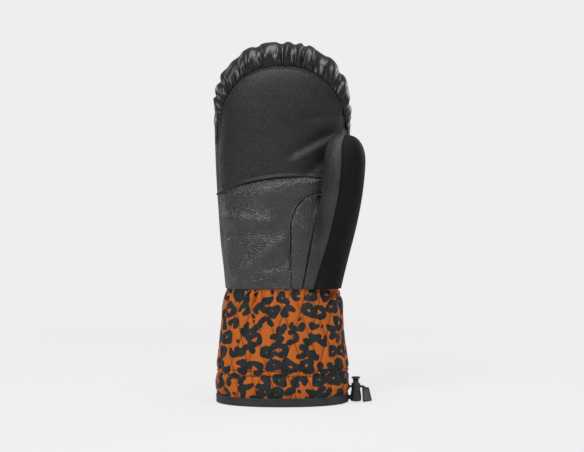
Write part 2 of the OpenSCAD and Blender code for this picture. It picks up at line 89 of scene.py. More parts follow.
def studio_floor():
    """A wide round floor that shows the room's own pale tone and keeps a soft shadow."""
    turns = np.linspace(0, 2 * np.pi, 48, endpoint=False)
    points = [(FLOOR_R * math.cos(turn), FLOOR_R * math.sin(turn), FLOOR_Z) for turn in turns]
    mesh = bpy.data.meshes.new("floor")
    mesh.from_pydata(points, [], [tuple(range(len(points)))])
    paper = bpy.data.materials.new("floor paper")
    paper.use_nodes = True
    tree = paper.node_tree
    tree.nodes.clear()
    matt = add(tree, "ShaderNodeBsdfDiffuse", {"Color": PALE})
    glow = add(tree, "ShaderNodeEmission", {"Color": PALE, "Strength": 1})
    path = add(tree, "ShaderNodeLightPath")
    place = add(tree, "ShaderNodeTexCoord")
    far = add(tree, "ShaderNodeVectorMath", {0: place.outputs["Object"]}, operation="LENGTH")
    reach = {"Value": far.outputs["Value"], "From Min": 0.2, "From Max": 1.0, "To Min": 0.82, "To Max": 1}
    level = add(tree, "ShaderNodeMapRange", reach)
    share = calc(tree, "MULTIPLY", path.outputs["Is Camera Ray"], level.outputs[0])
    mixed = add(tree, "ShaderNodeMixShader", {0: share.outputs[0], 1: matt.outputs[0], 2: glow.outputs[0]})
    add(tree, "ShaderNodeOutputMaterial", {"Surface": mixed.outputs[0]})
    mesh.materials.append(paper)
    made = bpy.data.objects.new("studio_floor", mesh)
    bpy.context.collection.objects.link(made)


def room():
    """Plain fill light, with the pale backdrop in sight of the camera and of shiny things."""
    world = bpy.data.worlds.new("room")
    bpy.context.scene.world = world
    world.use_nodes = True
    tree = world.node_tree
    tree.nodes.clear()
    fill = add(tree, "ShaderNodeBackground", {"Color": (0.95, 0.95, 0.95, 1), "Strength": 0.17})
    wall = add(tree, "ShaderNodeBackground", {"Color": PALE, "Strength": 1})
    path = add(tree, "ShaderNodeLightPath")
    rays = path.outputs
    shiny = calc(tree, "MAXIMUM", rays["Is Glossy Ray"], rays["Is Transmission Ray"])
    dim = calc(tree, "MULTIPLY", shiny.outputs[0], 0.2)
    seen = calc(tree, "MAXIMUM", rays["Is Camera Ray"], dim.outputs[0])
    mixed = add(tree, "ShaderNodeMixShader", {0: seen.outputs[0], 1: fill.outputs[0], 2: wall.outputs[0]})
    add(tree, "ShaderNodeOutputWorld", {"Surface": mixed.outputs[0]})


def lamp(name, place, aim, size, power):
    data = bpy.data.lights.new(name, "AREA")
    data.shape = "DISK"
    data.size = size
    data.energy = power
    made = bpy.data.objects.new(name, data)
    made.location = place
    made.rotation_euler = (Vector(aim) - Vector(place)).to_track_quat("-Z", "Y").to_euler()
    bpy.context.collection.objects.link(made)


studio_floor()
room()
MIDDLE = (0, 0, 0.17)
lamp("key", (-0.55, -0.95, 1.1), MIDDLE, 0.6, 11)
lamp("fill", (1.2, -1.0, 0.3), MIDDLE, 1.0, 2)
lamp("top", (0.1, -0.2, 1.2), MIDDLE, 0.6, 7.5)
lamp("back left", (-0.9, 0.7, 0.6), MIDDLE, 0.6, 2.5)
lamp("back right", (0.9, 0.7, 0.6), MIDDLE, 0.6, 4)

# ---- Drawcord's free end ----
# Braided elastic cord, 2.3 mm thick. It comes out of the casing through the eyelet, runs
# through the lock's cross hole and turns down into the cord end, which is clamped on it.

CORD_WIDTH = 2.3
TAIL_ROUTE = [
    (55.4, -10.2, 14), (56.3, -8, 14), (57.6, -6.95, 14), (59.2, -6.95, 14), (61.5, -7, 14),
    (64, -7, 14), (67, -7, 14), (69.6, -7, 14), (71, -7, 13.95), (72.2, -7, 13.6),
    (73.2, -7, 13), (73.9, -7, 12.2), (74.3, -7, 11.2), (74.65, -7, 9.5), (75.05, -7, 6.5),
    (75.5, -7, 3.5), (75.7, -7, 1.9),
]


def mesh_object(name, points, faces, uv=None):
    """A mesh from points in millimetres, with an optional UV pair for each point."""
    mesh = bpy.data.meshes.new(name)
    mesh.from_pydata((np.asarray(points, float) * MM).tolist(), [], faces)
    if uv is not None:
        layer = mesh.uv_layers.new(name="cloth")
        corners = np.empty(len(mesh.loops), np.int32)
        mesh.loops.foreach_get("vertex_index", corners)
        layer.data.foreach_set("uv", np.asarray(uv, np.float32)[corners].ravel())
    mesh.shade_smooth()
    made = bpy.data.objects.new(name, mesh)
    bpy.context.collection.objects.link(made)
    return made


def grid_faces(rows, columns, closed=False):
    """Quads of a grid of points that are listed row by row."""
    last = columns if closed else columns - 1
    faces = []
    for r in range(rows - 1):
        for c in range(last):
            low, high, beside = r * columns, (r + 1) * columns, (c + 1) % columns
            faces.append((low + c, low + beside, high + beside, high + c))
    return faces


def run_length(points):
    """Distance along a line of points, at each of them."""
    steps = np.linalg.norm(np.diff(points, axis=0), axis=1)
    return np.concatenate([[0], np.cumsum(steps)])


def smooth_path(points, count):
    """Points evenly spaced on a Catmull-Rom curve through the given ones."""
    p = np.asarray(points, float)
    p = np.vstack([2 * p[0] - p[1], p, 2 * p[-1] - p[-2]])
    fine = []
    for i in range(1, len(p) - 2):
        for t in np.linspace(0, 1, 12, endpoint=False):
            a, b, c, d = p[i - 1], p[i], p[i + 1], p[i + 2]
            square, cube = 2 * a - 5 * b + 4 * c - d, 3 * b - a - 3 * c + d
            fine.append(0.5 * (2 * b + (c - a) * t + square * t**2 + cube * t**3))
    fine.append(p[-2])
    fine = np.array(fine)
    along = run_length(fine)
    even = np.linspace(0, along[-1], count)
    return np.stack([np.interp(even, along, fine[:, k]) for k in range(3)], axis=1), along[-1]


def tube(name, path, radius, sides):
    """A capped round tube along a path, with UVs in turns and millimetres."""
    tangent = np.gradient(path, axis=0)
    tangent /= np.linalg.norm(tangent, axis=1)[:, None]
    side = np.cross(tangent, (0, 0.3, 1))
    side /= np.linalg.norm(side, axis=1)[:, None]
    top = np.cross(side, tangent)
    turn = np.linspace(0, 2 * np.pi, sides, endpoint=False)
    ring = side[:, None] * np.cos(turn)[None, :, None] + top[:, None] * np.sin(turn)[None, :, None]
    points = (path[:, None] + ring * radius).reshape(-1, 3)
    along = run_length(path)
    uv = [(c / sides, a) for a in along for c in range(sides)]
    faces = grid_faces(len(path), sides, closed=True)
    faces.append(tuple(range(sides - 1, -1, -1)))
    faces.append(tuple((len(path) - 1) * sides + c for c in range(sides)))
    return mesh_object(name, points, faces, uv)


def finish(piece, material):
    piece.data.materials.append(material)
    return piece


def on_mitten(piece, material, slot, *nodes):
    """A finished piece that rides on the mitten and stands for the nodes."""
    finish(piece, material)
    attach(piece, "mitten")
    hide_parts(*nodes)


def plain_material(name, color, roughness):
    """A material with its shader's plain values set, and its tree for the rest."""
    made = bpy.data.materials.new(name)
    made.use_nodes = True
    shader = made.node_tree.nodes["Principled BSDF"]
    shader.inputs["Base Color"].default_value = (*color, 1)
    shader.inputs["Roughness"].default_value = roughness
    return made, made.node_tree, shader


def bump(tree, shader, height, strength, depth):
    """Height in 0 to 1, and how deep that is in metres."""
    made = add(tree, "ShaderNodeBump", {"Height": height, "Strength": strength, "Distance": depth})
    tree.links.new(made.outputs[0], shader.inputs["Normal"])


def two_tone(tree, shader, share, dark, light):
    """Colours the shader from dark to light, by a share from 0 to 1."""
    tone = add(tree, "ShaderNodeMix", {0: share, 6: (*dark, 1), 7: (*light, 1)}, data_type="RGBA")
    tree.links.new(tone.outputs[2], shader.inputs["Base Color"])


def cord_material():
    """A braid: two sets of strands that cross round the cord."""
    made, tree, shader = plain_material("braided cord", (0.014, 0.014, 0.016), 0.62)
    place = add(tree, "ShaderNodeUVMap", uv_map="cloth")
    split = add(tree, "ShaderNodeSeparateXYZ", {0: place.outputs[0]})
    strands = []
    for lean in (1, -1):
        turn = calc(tree, "MULTIPLY", split.outputs[0], 8 * 2 * math.pi * lean)
        wave = calc(tree, "MULTIPLY_ADD", split.outputs[1], 5.2, turn.outputs[0])
        strands.append(calc(tree, "SINE", wave.outputs[0]))
    braid = calc(tree, "MAXIMUM", strands[0].outputs[0], strands[1].outputs[0])
    level = add(tree, "ShaderNodeMapRange", {"Value": braid.outputs[0], "From Min": -0.6, "From Max": 1})
    two_tone(tree, shader, level.outputs[0], (0.006, 0.006, 0.007), (0.03, 0.03, 0.033))
    bump(tree, shader, level.outputs[0], 0.8, 0.00025)
    shader.inputs["Sheen Weight"].default_value = 0.3
    return made


braided_cord = cord_material()
tail_path, tail_length = smooth_path(TAIL_ROUTE, 90)
tail = finish(tube("cord_free_end", tail_path, CORD_WIDTH / 2, 20), braided_cord)
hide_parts("cord_tail")
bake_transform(tail)

# ---- Palm leather ----
# Two grained panels: the upper one is closed at the top by the gathered rim's seam, and laps
# over the lower one in a top-stitched arc. Both are drawn a little hollow at their seams.

# All plies of the hand follow one rounded oval section that widens from the wrist to the
# knuckles and closes in a dome over the fingertips. The numbers are the pattern's own, in mm.
shell_high = Vector(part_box("finger_back_panel")[1]) / MM
HAND_HALF_W = shell_high.x
TIP_Z = shell_high.z
hem_high = Vector(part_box("hem_binding")[1]) / MM
LEATHER_T = 1.2
CUFF_H = 101.5
WRIST_HALF_W, WRIST_HALF_D = 51.0, 27.0
HAND_HALF_D = 31.0
TIP_ROUND = 69.5
ROUND_Z = TIP_Z - TIP_ROUND
FINGER_CURL = 8.0
CURL_Z = CUFF_H + 50
OVAL = 2.2
DOME = 2.4


def mix(a, b, u):
    return a + (b - a) * u


def ease(u):
    return np.sin(np.pi / 2 * np.clip(u, 0, 1))


def smooth(u):
    v = np.clip(u, 0, 1)
    return v * v * (3 - 2 * v)


def spow(c, n):
    return np.sign(c) * np.abs(c) ** (2 / n)


def oval_xy(turn, half_w, half_d):
    """X and Y round the oval that the hand and the cuff share."""
    return half_w * spow(np.cos(turn), OVAL), half_d * spow(np.sin(turn), OVAL)


def bell(t, width):
    return np.exp(-((t / width) ** 2))


def hand_section(z, inset=0.0):
    """Half width, half depth and centre of the hand at a height."""
    z = np.asarray(z, float)
    grow = ease((z - CUFF_H) / (ROUND_Z - CUFF_H))
    over = np.clip((z - ROUND_Z) / (TIP_ROUND - inset), 0, 1)
    close = np.maximum(1 - over**DOME, 0) ** (1 / DOME)
    half_w = (mix(WRIST_HALF_W, HAND_HALF_W, grow) - inset) * close
    half_d = (mix(WRIST_HALF_D, HAND_HALF_D, grow) - inset) * close
    centre = -FINGER_CURL * (np.maximum(0, z - CURL_Z) / (TIP_Z - CURL_Z)) ** 2
    return half_w, half_d, centre


def hand_face(x, z, side, inset=0.0):
    """Y of the hand's surface: side -1 is the palm, 1 the back."""
    half_w, half_d, centre = hand_section(z, inset)
    share = np.clip(np.abs(x) / np.maximum(half_w, 1e-6), 0, 1)
    return centre + side * half_d * (1 - share**OVAL) ** (1 / OVAL)


# The thumb leaves the hand at the wrist and ends in front of the palm's edge.
THUMB_R = 17.5
THUMB_TIP_Z = 236.0
THUMB_ROUND = 26.0
CROTCH_Z = THUMB_TIP_Z - 38
THUMB_ROOT = (WRIST_HALF_W - THUMB_R + 0.5, -WRIST_HALF_D + 19)
THUMB_END = (HAND_HALF_W - 5.7, -HAND_HALF_D - 7.5)
THUMB_FREE_Z = 165
FAR_FRONT = -78.0


def thumb_share(z):
    return (np.asarray(z, float) - CUFF_H) / (THUMB_TIP_Z - CUFF_H)


def thumb_axis(z):
    share = thumb_share(z)
    return (
        mix(THUMB_ROOT[0], THUMB_END[0], ease(share / 0.9)),
        mix(THUMB_ROOT[1], THUMB_END[1], smooth(share / 0.85)),
    )


def thumb_radius(z, inset=0.0):
    z = np.asarray(z, float)
    straight = THUMB_R * mix(0.94, 1, ease(thumb_share(z) / 0.4)) - inset
    over = np.clip((z - (THUMB_TIP_Z - THUMB_ROUND)) / (THUMB_ROUND - inset), 0, 1)
    return straight * np.maximum(1 - over**DOME, 0) ** (1 / DOME)


def soft_min(a, b, k):
    h = np.clip(0.5 + 0.5 * (b - a) / k, 0, 1)
    return mix(b, a, h) - k * h * (1 - h)


def body_distance(x, y, z, inset=0.0):
    """Rough distance to the hand and thumb together, rounded where they meet."""
    half_w, half_d, centre = hand_section(z, inset)
    half_w, half_d = np.maximum(half_w, 0.5), np.maximum(half_d, 0.5)
    oval = (np.abs(x / half_w) ** OVAL + np.abs((y - centre) / half_d) ** OVAL) ** (1 / OVAL)
    hand = (oval - 1) * half_d
    ax, ay = thumb_axis(z)
    thumb = np.hypot(x - ax, y - ay) - thumb_radius(z, inset)
    parting = smooth((z - THUMB_FREE_Z) / (CROTCH_Z - THUMB_FREE_Z))
    return soft_min(hand, thumb, mix(7.0, 0.5, parting))


def palm_face(x, z):
    """Y of the outside of the palm, with the thumb's root in it."""
    x, z = np.broadcast_arrays(np.asarray(x, float), np.asarray(z, float))
    y = np.full(x.shape, FAR_FRONT)
    for _ in range(70):
        y = np.minimum(y + 0.9 * body_distance(x, y, z), 0)
    return np.where(z > CROTCH_Z, hand_face(x, z, -1), y)


def outward(points):
    """Unit normals of a grid of points, turned away from the grid's own inside."""
    u = np.gradient(points, axis=0)
    v = np.gradient(points, axis=1)
    normal = np.cross(u, v)
    normal /= np.maximum(np.linalg.norm(normal, axis=2), 1e-9)[:, :, None]
    half_w, half_d, centre = hand_section(points[:, :, 2])
    axis = np.stack([np.zeros_like(centre), centre, points[:, :, 2]], axis=2)
    if np.sum(normal * (points - axis)) < 0:
        normal = -normal
    return normal


def thicken(piece, thickness):
    """A wall that grows inwards from the mesh, and kept as plain mesh."""
    wall = piece.modifiers.new("ply", "SOLIDIFY")
    wall.thickness = thickness * MM
    wall.offset = -1
    return bake(piece)


def bake(piece):
    """The evaluated mesh takes the place of the modifiers."""
    evaluated = piece.evaluated_get(bpy.context.evaluated_depsgraph_get())
    mesh = bpy.data.meshes.new_from_object(evaluated)
    piece.modifiers.clear()
    piece.data = mesh
    return piece


def face_outwards(piece):
    """Flips a closed piece whose faces point inwards."""
    work = bmesh.new()
    work.from_mesh(piece.data)
    bmesh.ops.recalc_face_normals(work, faces=work.faces)
    work.to_mesh(piece.data)
    work.free()
    return piece


def grid_object(name, points, uv=None):
    """An open sheet from a grid of points whose faces point out of the hand."""
    rows, columns = points.shape[:2]
    faces = grid_faces(rows, columns)
    r, c = rows // 2, columns // 2
    cross = np.cross(points[r, c + 1] - points[r, c], points[r + 1, c] - points[r, c])
    if np.dot(cross, outward(points)[r, c]) < 0:
        faces = [face[::-1] for face in faces]
    flat = None if uv is None else uv.reshape(-1, 2)
    return mesh_object(name, points.reshape(-1, 3), faces, flat)


def noise(tree, spot, scale, detail, **more):
    values = {"Vector": spot, "Scale": scale, "Detail": detail, **more}
    return add(tree, "ShaderNodeTexNoise", values)


def grain_group():
    """Pebbles between fine valleys on a soft crumple, with slow changes of tone."""
    tree = bpy.data.node_groups.new("leather grain", "ShaderNodeTree")
    for label in ("Pebble Scale", "Crumple"):
        tree.interface.new_socket(label, in_out="INPUT", socket_type="NodeSocketFloat")
    tree.interface.new_socket("Height", in_out="OUTPUT", socket_type="NodeSocketFloat")
    tree.interface.new_socket("Mottle", in_out="OUTPUT", socket_type="NodeSocketFloat")
    start = tree.nodes.new("NodeGroupInput")
    end = tree.nodes.new("NodeGroupOutput")
    place = add(tree, "ShaderNodeTexCoord")
    spot = place.outputs["Object"]
    warp = noise(tree, spot, 420, 2)
    bend = add(
        tree, "ShaderNodeVectorMath",
        {0: warp.outputs["Color"], 1: (0.0011, 0.0011, 0.0011)},
        operation="MULTIPLY",
    )
    moved = add(tree, "ShaderNodeVectorMath", {0: spot, 1: bend.outputs[0]}, operation="ADD")
    pebble = add(
        tree, "ShaderNodeTexVoronoi",
        {"Vector": moved.outputs[0], "Scale": start.outputs["Pebble Scale"], "Randomness": 1},
        feature="DISTANCE_TO_EDGE",
    )
    dome = add(
        tree, "ShaderNodeMapRange",
        {"Value": pebble.outputs["Distance"], "From Max": 0.32},
        interpolation_type="SMOOTHSTEP",
    )
    fine = noise(tree, spot, 2600, 3)
    rough = calc(tree, "MULTIPLY_ADD", fine.outputs["Fac"], 0.35, dome.outputs[0])
    soft = noise(tree, spot, 150, 4, Roughness=0.55, Distortion=0.7)
    worn = calc(tree, "MULTIPLY_ADD", soft.outputs["Fac"], start.outputs["Crumple"], rough.outputs[0])
    tree.links.new(worn.outputs[0], end.inputs["Height"])
    slow = noise(tree, spot, 30, 8, Roughness=0.7)
    level = add(tree, "ShaderNodeMapRange", {"Value": slow.outputs["Fac"], "From Min": 0.34, "From Max": 0.66})
    tree.links.new(level.outputs[0], end.inputs["Mottle"])
    return tree


leather_grain = grain_group()


def leather(name, dark, light, roughness, pebbles, depth, crumple=0.0, coat=0.0, specular=0.38):
    """One hide; pebbles is how many lie along a metre, and depth is that of the grain."""
    made, tree, shader = plain_material(name, dark, roughness)
    grain = add(tree, "ShaderNodeGroup", node_tree=leather_grain)
    grain.inputs["Pebble Scale"].default_value = pebbles
    grain.inputs["Crumple"].default_value = crumple
    height, mottle = grain.outputs["Height"], grain.outputs["Mottle"]
    tone = add(tree, "ShaderNodeMix", {0: mottle, 6: (*dark, 1), 7: (*light, 1)}, data_type="RGBA")
    valley = add(tree, "ShaderNodeMapRange", {"Value": height, "To Min": 0.72, "To Max": 1.06})
    shaded = add(
        tree, "ShaderNodeMix",
        {0: 1.0, 6: tone.outputs[2], 7: valley.outputs[0]},
        data_type="RGBA", blend_type="MULTIPLY",
    )
    tree.links.new(shaded.outputs[2], shader.inputs["Base Color"])
    rub = {"Value": mottle, "To Min": roughness + 0.05, "To Max": roughness - 0.05}
    gloss = add(tree, "ShaderNodeMapRange", rub)
    tree.links.new(gloss.outputs[0], shader.inputs["Roughness"])
    bump(tree, shader, height, 0.55, depth)
    shader.inputs["Specular IOR Level"].default_value = specular
    shader.inputs["Coat Weight"].default_value = coat
    shader.inputs["Coat Roughness"].default_value = 0.3
    return made


palm_leather = leather(
    "palm leather", (0.006, 0.006, 0.0065), (0.014, 0.014, 0.015), 0.44, 640, 0.0003, crumple=1.8,
)
patch_leather = leather(
    "palm patch leather", (0.009, 0.009, 0.010), (0.036, 0.036, 0.038), 0.33, 470, 0.00045,
    crumple=4.0, specular=0.6,
)
grip_leather = leather(
    "thumb grip leather", (0.014, 0.014, 0.015), (0.036, 0.036, 0.038), 0.42, 600, 0.00035, crumple=2.5,
)
matte_leather = leather(
    "thumb side leather", (0.004, 0.004, 0.0045), (0.007, 0.007, 0.008), 0.7, 1100, 0.00008, specular=0.16,
)
gloss_leather = leather(
    "fingertip leather", (0.004, 0.004, 0.005), (0.008, 0.008, 0.009), 0.36, 1300, 0.00006, coat=0.12,
)

U_HALF_W = HAND_HALF_W - 2
U_Z = TIP_Z - 84.5
U_H = 62.5
CROSS_R, CROSS_X, CROSS_Z = 190.0, 14.0, CROTCH_Z + 2
TOP_STITCH_IN = 3.7


def cross_seam_z(x):
    return CROSS_Z - CROSS_R + np.sqrt(CROSS_R**2 - (x - CROSS_X) ** 2)


def palm_side_x(z):
    """Where the palm's side seam shows, just inside the silhouette."""
    return hand_section(z)[0] * 0.9999


def side_seam(z):
    return min(palm_side_x(z), mix(U_HALF_W, HAND_HALF_W, (U_Z - z) / 8))


def upper_outline():
    """The upper panel's edge, round from the arc's right end."""
    right_z = np.linspace(cross_seam_z(HAND_HALF_W - 1.5), U_Z, 40)
    right = [(side_seam(z), z) for z in right_z]
    turn = np.radians(np.linspace(0, 180, 220))
    u_x, u_z = oval_xy(turn, U_HALF_W, U_H)
    over = list(zip(u_x, U_Z + u_z))
    left_z = np.linspace(U_Z, cross_seam_z(-HAND_HALF_W + 1.2), 50)
    left = [(-side_seam(z), z) for z in left_z]
    along = np.linspace(left[-1][0], right[0][0], 120)
    arc = list(zip(along, cross_seam_z(along)))
    return np.array(right + over[1:-1] + left + arc[1:-1])


def even_loop(loop, count):
    closed = np.vstack([loop, loop[:1]])
    along = run_length(closed)
    even = np.linspace(0, along[-1], count, endpoint=False)
    return np.stack([np.interp(even, along, closed[:, k]) for k in range(closed.shape[1])], axis=1)


def fan_panel(name, loop, centre, face, shape, rows=70):
    """A panel whose rows follow its own edge, from a middle point out to the seam.

    face gives Y at X and Z, and shape the height over it at X, Z and the distance from the edge.
    """
    centre = np.asarray(centre, float)
    # The rows lie closer towards the seam, and the first is a small ring round the middle.
    spread = 1 - (1 - np.linspace(0, 1, rows)) ** 1.55
    spread[0] = 0.004
    reach = loop[None, :, :] - centre
    flat = centre + reach * spread[:, None, None]
    away = (1 - spread)[:, None] * np.linalg.norm(reach, axis=2)
    x, z = flat[:, :, 0], flat[:, :, 1]
    points = np.stack([x, face(x, z), z], axis=2)
    wrapped = np.concatenate([points[:, -1:], points, points[:, :1]], axis=1)
    normal = outward(wrapped)[:, 1:-1]
    normal[:9] = normal[9].mean(axis=0)
    points = points + normal * shape(x, z, away)[:, :, None]
    rows, columns = points.shape[:2]
    faces = grid_faces(rows, columns, closed=True)
    middle = points[0].mean(axis=0)
    flat_points = np.vstack([points.reshape(-1, 3), middle])
    hub = len(flat_points) - 1
    faces += [(hub, (c + 1) % columns, c) for c in range(columns)]
    made = mesh_object(name, flat_points, faces)
    return thicken(face_front(made, -1), LEATHER_T)


def face_front(piece, side):
    """Turns a sheet's faces to the palm's side (-1) or the back's side (1)."""
    mesh = piece.data
    total = sum((p.normal.y * p.area for p in mesh.polygons))
    if total * side < 0:
        mesh.flip_normals()
    return piece


def ridge(x, z, a, b, width):
    """1 on the line from a to b, falling off across it, with soft ends."""
    a, b = np.asarray(a, float), np.asarray(b, float)
    along = (b - a) / np.linalg.norm(b - a)
    s = (x - a[0]) * along[0] + (z - a[1]) * along[1]
    t = (x - a[0]) * -along[1] + (z - a[1]) * along[0]
    over = np.maximum(0, np.maximum(-s, s - np.linalg.norm(b - a)))
    return bell(t, width) * bell(over, 1.6 * width)


def edge_roll(away, tuck, reach, bead=0.0):
    """The dip towards a seam, with the turned edge's own small roll."""
    return -tuck * np.exp(-away / reach) + bead * bell(away - 1.1, 0.9)


# From one point to another in X and Z, how wide, and how far out it stands.
CREASES = [
    ((58, 257), (27, 252), 4.2, -1.3),
    ((58, 246), (12, 222), 4.6, -1.9),
    ((52, 237), (16, 216), 5.0, 0.9),
    ((42, 218), (23, 204), 4.0, -1.4),
    ((36, 230), (8, 212), 4.5, 0.4),
]


def at_side_seam(x, z):
    """Fades a panel's shaping out where it meets the back at the side seam."""
    return smooth((hand_section(z)[0] - np.abs(x)) / 1.6 + 0.15)


def upper_shape(x, z, away):
    height = edge_roll(away, 1.8, 4.5, 0.9)
    for a, b, width, depth in CREASES:
        height = height + depth * ridge(x, z, a, b, width)
    over_seam = z - cross_seam_z(x)
    height = height + 1.5 * np.exp(-np.maximum(over_seam, 0) / 5)
    height = height - 0.5 * bell(over_seam - TOP_STITCH_IN, 0.7)
    height = height + 0.25 * np.sin(x / 9 + z / 17) * np.sin(z / 11 - x / 23)
    return height * at_side_seam(x, z)


upper_loop = even_loop(upper_outline(), 460)
palm_upper = fan_panel(
    "palm_panel_leather", upper_loop, (0, 246), lambda x, z: hand_face(x, z, -1), upper_shape,
)
on_mitten(palm_upper, palm_leather, "palm_leather", "palm_panel")


GUSSET_END_X = THUMB_END[0] - 20


def gusset_inner_x(z):
    rise = np.clip((z - CROTCH_Z + 44) / 32, 0, 1)
    return mix(7.5, GUSSET_END_X, 1 - np.sqrt(1 - rise**2))


def patch_outline():
    right_z = np.linspace(CUFF_H, CROTCH_Z + 1, 110)
    under_grip = 1.8 * smooth((right_z - CROTCH_Z + 16) / 6)
    right = list(zip(gusset_inner_x(right_z) + under_grip, right_z))
    along = np.linspace(right[-1][0], -HAND_HALF_W + 1.2, 130)
    top = list(zip(along, cross_seam_z(along)))
    left_z = np.linspace(top[-1][1], CUFF_H, 100)
    left = list(zip(-palm_side_x(left_z), left_z))
    bottom = [(x, CUFF_H) for x in np.linspace(left[-1][0], right[0][0], 90)]
    return np.array(right + top[1:] + left[1:] + bottom[1:-1])


PATCH_FOLDS = [
    ((-46, 164), (-14, 160), 5.5, 2.4),
    ((-46, 150), (-12, 152), 5.5, -2.0),
    ((-2, 141), (-36, 116), 5.5, 2.6),
    ((6, 129), (-26, 106), 5.0, -1.8),
    ((-16, 186), (26, 194), 8.0, 1.6),
]


def patch_shape(x, z, away):
    height = edge_roll(away, 2.0, 5.0, 0.5) * smooth((z - CUFF_H - 1) / 8)
    height = height + 0.35 * np.sin(x / 14 + z / 19) + 0.3 * np.sin(z / 12 - x / 31)
    for a, b, width, lift in PATCH_FOLDS:
        height = height + lift * ridge(x, z, a, b, width)
    over_tuck = -0.2 - 2.6 * smooth((z - CUFF_H - 13) / 8)
    return np.maximum(height, over_tuck) * at_side_seam(x, z)


patch_loop = even_loop(patch_outline(), 420)
palm_lower = fan_panel("palm_patch_leather", patch_loop, (-14, 182), palm_face, patch_shape, rows=60)
on_mitten(palm_lower, patch_leather, "palm_leather", "palm_patch")


# ---- Thumb gusset ----
# A long narrow wedge of the patch's grained leather, set in between the palm and the thumb.


def gusset_outer_x(z):
    return np.maximum(gusset_inner_x(z) + 0.8, mix(17.6, GUSSET_END_X, thumb_share(z) / 0.7))


gusset_z = np.linspace(CUFF_H, CROTCH_Z - 4, 120)
across = np.linspace(0, 1, 26)
gusset_z = gusset_z[:, None] + 0 * across[None, :]
gusset_edge_x = gusset_outer_x(gusset_z)
gusset_x = mix(gusset_inner_x(gusset_z), gusset_edge_x + 2.0, across[None, :])
gusset_grid = np.stack([gusset_x, palm_face(gusset_x, gusset_z), gusset_z], axis=2)
gusset_away = np.minimum(across, 1 - across)[None, :] * np.ptp(gusset_x, axis=1)[:, None]
gusset_lap = smooth((gusset_x - gusset_edge_x + 0.6) / 1.4)
gusset_height = edge_roll(gusset_away, 1.3, 1.6, 0.25) - 1.3 * gusset_lap
gusset_grid += outward(gusset_grid) * gusset_height[:, :, None]
gusset = thicken(face_front(grid_object("thumb_gusset_leather", gusset_grid), -1), LEATHER_T)
on_mitten(gusset, patch_leather, "palm_leather", "thumb_gusset")

# ---- Thumb leather ----
# A grained grip strip faces the palm and runs up to the tip. The outer side is one smooth
# matt panel that also covers the hand's edge below the crotch.

GRIP_HIDDEN_TURN = 150.0
THUMB_LEVELS = np.concatenate([
    np.linspace(CUFF_H, 190, 70),
    np.linspace(190.8, 206, 26),
    np.linspace(207, 224, 20),
    THUMB_TIP_Z - 12 * np.cos(np.radians(np.linspace(5, 89.3, 26))) ** 1.25,
])


def grip_edge_x(z):
    return thumb_axis(z)[0] - mix(6.7, 4.3, smooth(thumb_share(z) / 0.8))


def turn_to(x, y, z):
    """Direction from the thumb's centre line, from 0 to 360 degrees."""
    ax, ay = thumb_axis(z)
    return np.degrees(np.arctan2(y - ay, x - ax)) % 360


def thumb_skin(turn, z):
    """The point of the outer surface in a direction from the thumb's centre line."""
    ax, ay = thumb_axis(z)
    way_x, way_y = np.cos(np.radians(turn)), np.sin(np.radians(turn))
    far = thumb_radius(z) * 0.4
    for _ in range(60):
        far = far - 0.9 * body_distance(ax + far * way_x, ay + far * way_y, z)
    alone = thumb_radius(z) + 0 * far
    far = np.where(z > CROTCH_Z - 1, alone, np.clip(far, alone * 0.9, 40))
    return np.stack([ax + far * way_x, ay + far * way_y, z + 0 * far], axis=2)


def thumb_panel(first_turn, last_turn, columns, tuck):
    """A strip of the thumb's skin between two turns, tucked in along both of its seams."""
    share = np.linspace(0, 1, columns)
    levels = THUMB_LEVELS[:, None] + 0 * share[None, :]
    turn = mix(first_turn[:, None], last_turn[:, None], share[None, :])
    points = thumb_skin(turn, levels)
    normal = points - np.stack([*thumb_axis(levels), levels], axis=2)
    normal[:, :, 2] = 0.0
    normal /= np.maximum(np.linalg.norm(normal, axis=2), 1e-6)[:, :, None]
    width = np.radians(last_turn - first_turn)[:, None] * thumb_radius(levels)
    away = np.minimum(share, 1 - share)[None, :] * width
    fade = np.clip(thumb_radius(levels) / 8, 0, 1)
    points = points + normal * (fade * edge_roll(away, tuck, 2.2, 0.45))[:, :, None]
    return points


grip_x = grip_edge_x(THUMB_LEVELS)
thumb_x, thumb_y = thumb_axis(THUMB_LEVELS)
grip_ahead = np.sqrt(np.maximum(thumb_radius(THUMB_LEVELS) ** 2 - (thumb_x - grip_x) ** 2, 1))
grip_turn = turn_to(grip_x, thumb_y - grip_ahead, THUMB_LEVELS)
TIP_TURN, TIP_TURN_Z = 256.0, 222
to_tip = mix(grip_turn, TIP_TURN, smooth((THUMB_LEVELS - TIP_TURN_Z) / 8))
grip_turn = np.where(THUMB_LEVELS > TIP_TURN_Z, to_tip, grip_turn)
valley_x = gusset_outer_x(THUMB_LEVELS)
valley_y = palm_face(valley_x, np.minimum(THUMB_LEVELS, CROTCH_Z - 3))
valley_turn = turn_to(valley_x, valley_y, THUMB_LEVELS)
above = smooth((THUMB_LEVELS - (CROTCH_Z - 6)) / 7)
inner_turn = mix(valley_turn, GRIP_HIDDEN_TURN, above)
side_x = hand_section(THUMB_LEVELS)[0]
outer_turn = turn_to(side_x, 0 * side_x, THUMB_LEVELS) + 360
outer_turn = mix(outer_turn, GRIP_HIDDEN_TURN + 360, smooth((THUMB_LEVELS - CROTCH_Z + 1) / 4))

SEAM_TURN = 0.7
grip_grid = thumb_panel(inner_turn, grip_turn - SEAM_TURN, 44, 1.3)
grip = thicken(grid_object("thumb_grip_leather", grip_grid), LEATHER_T)
finish(grip, grip_leather)
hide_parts("thumb_grip_root", "thumb_grip_tip")

side_grid = thumb_panel(grip_turn + SEAM_TURN, outer_turn, 90, 1.1)
side_panel = thicken(grid_object("thumb_side_leather", side_grid), LEATHER_T)
finish(side_panel, matte_leather)
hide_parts("thumb_side_root", "thumb_side_tip")

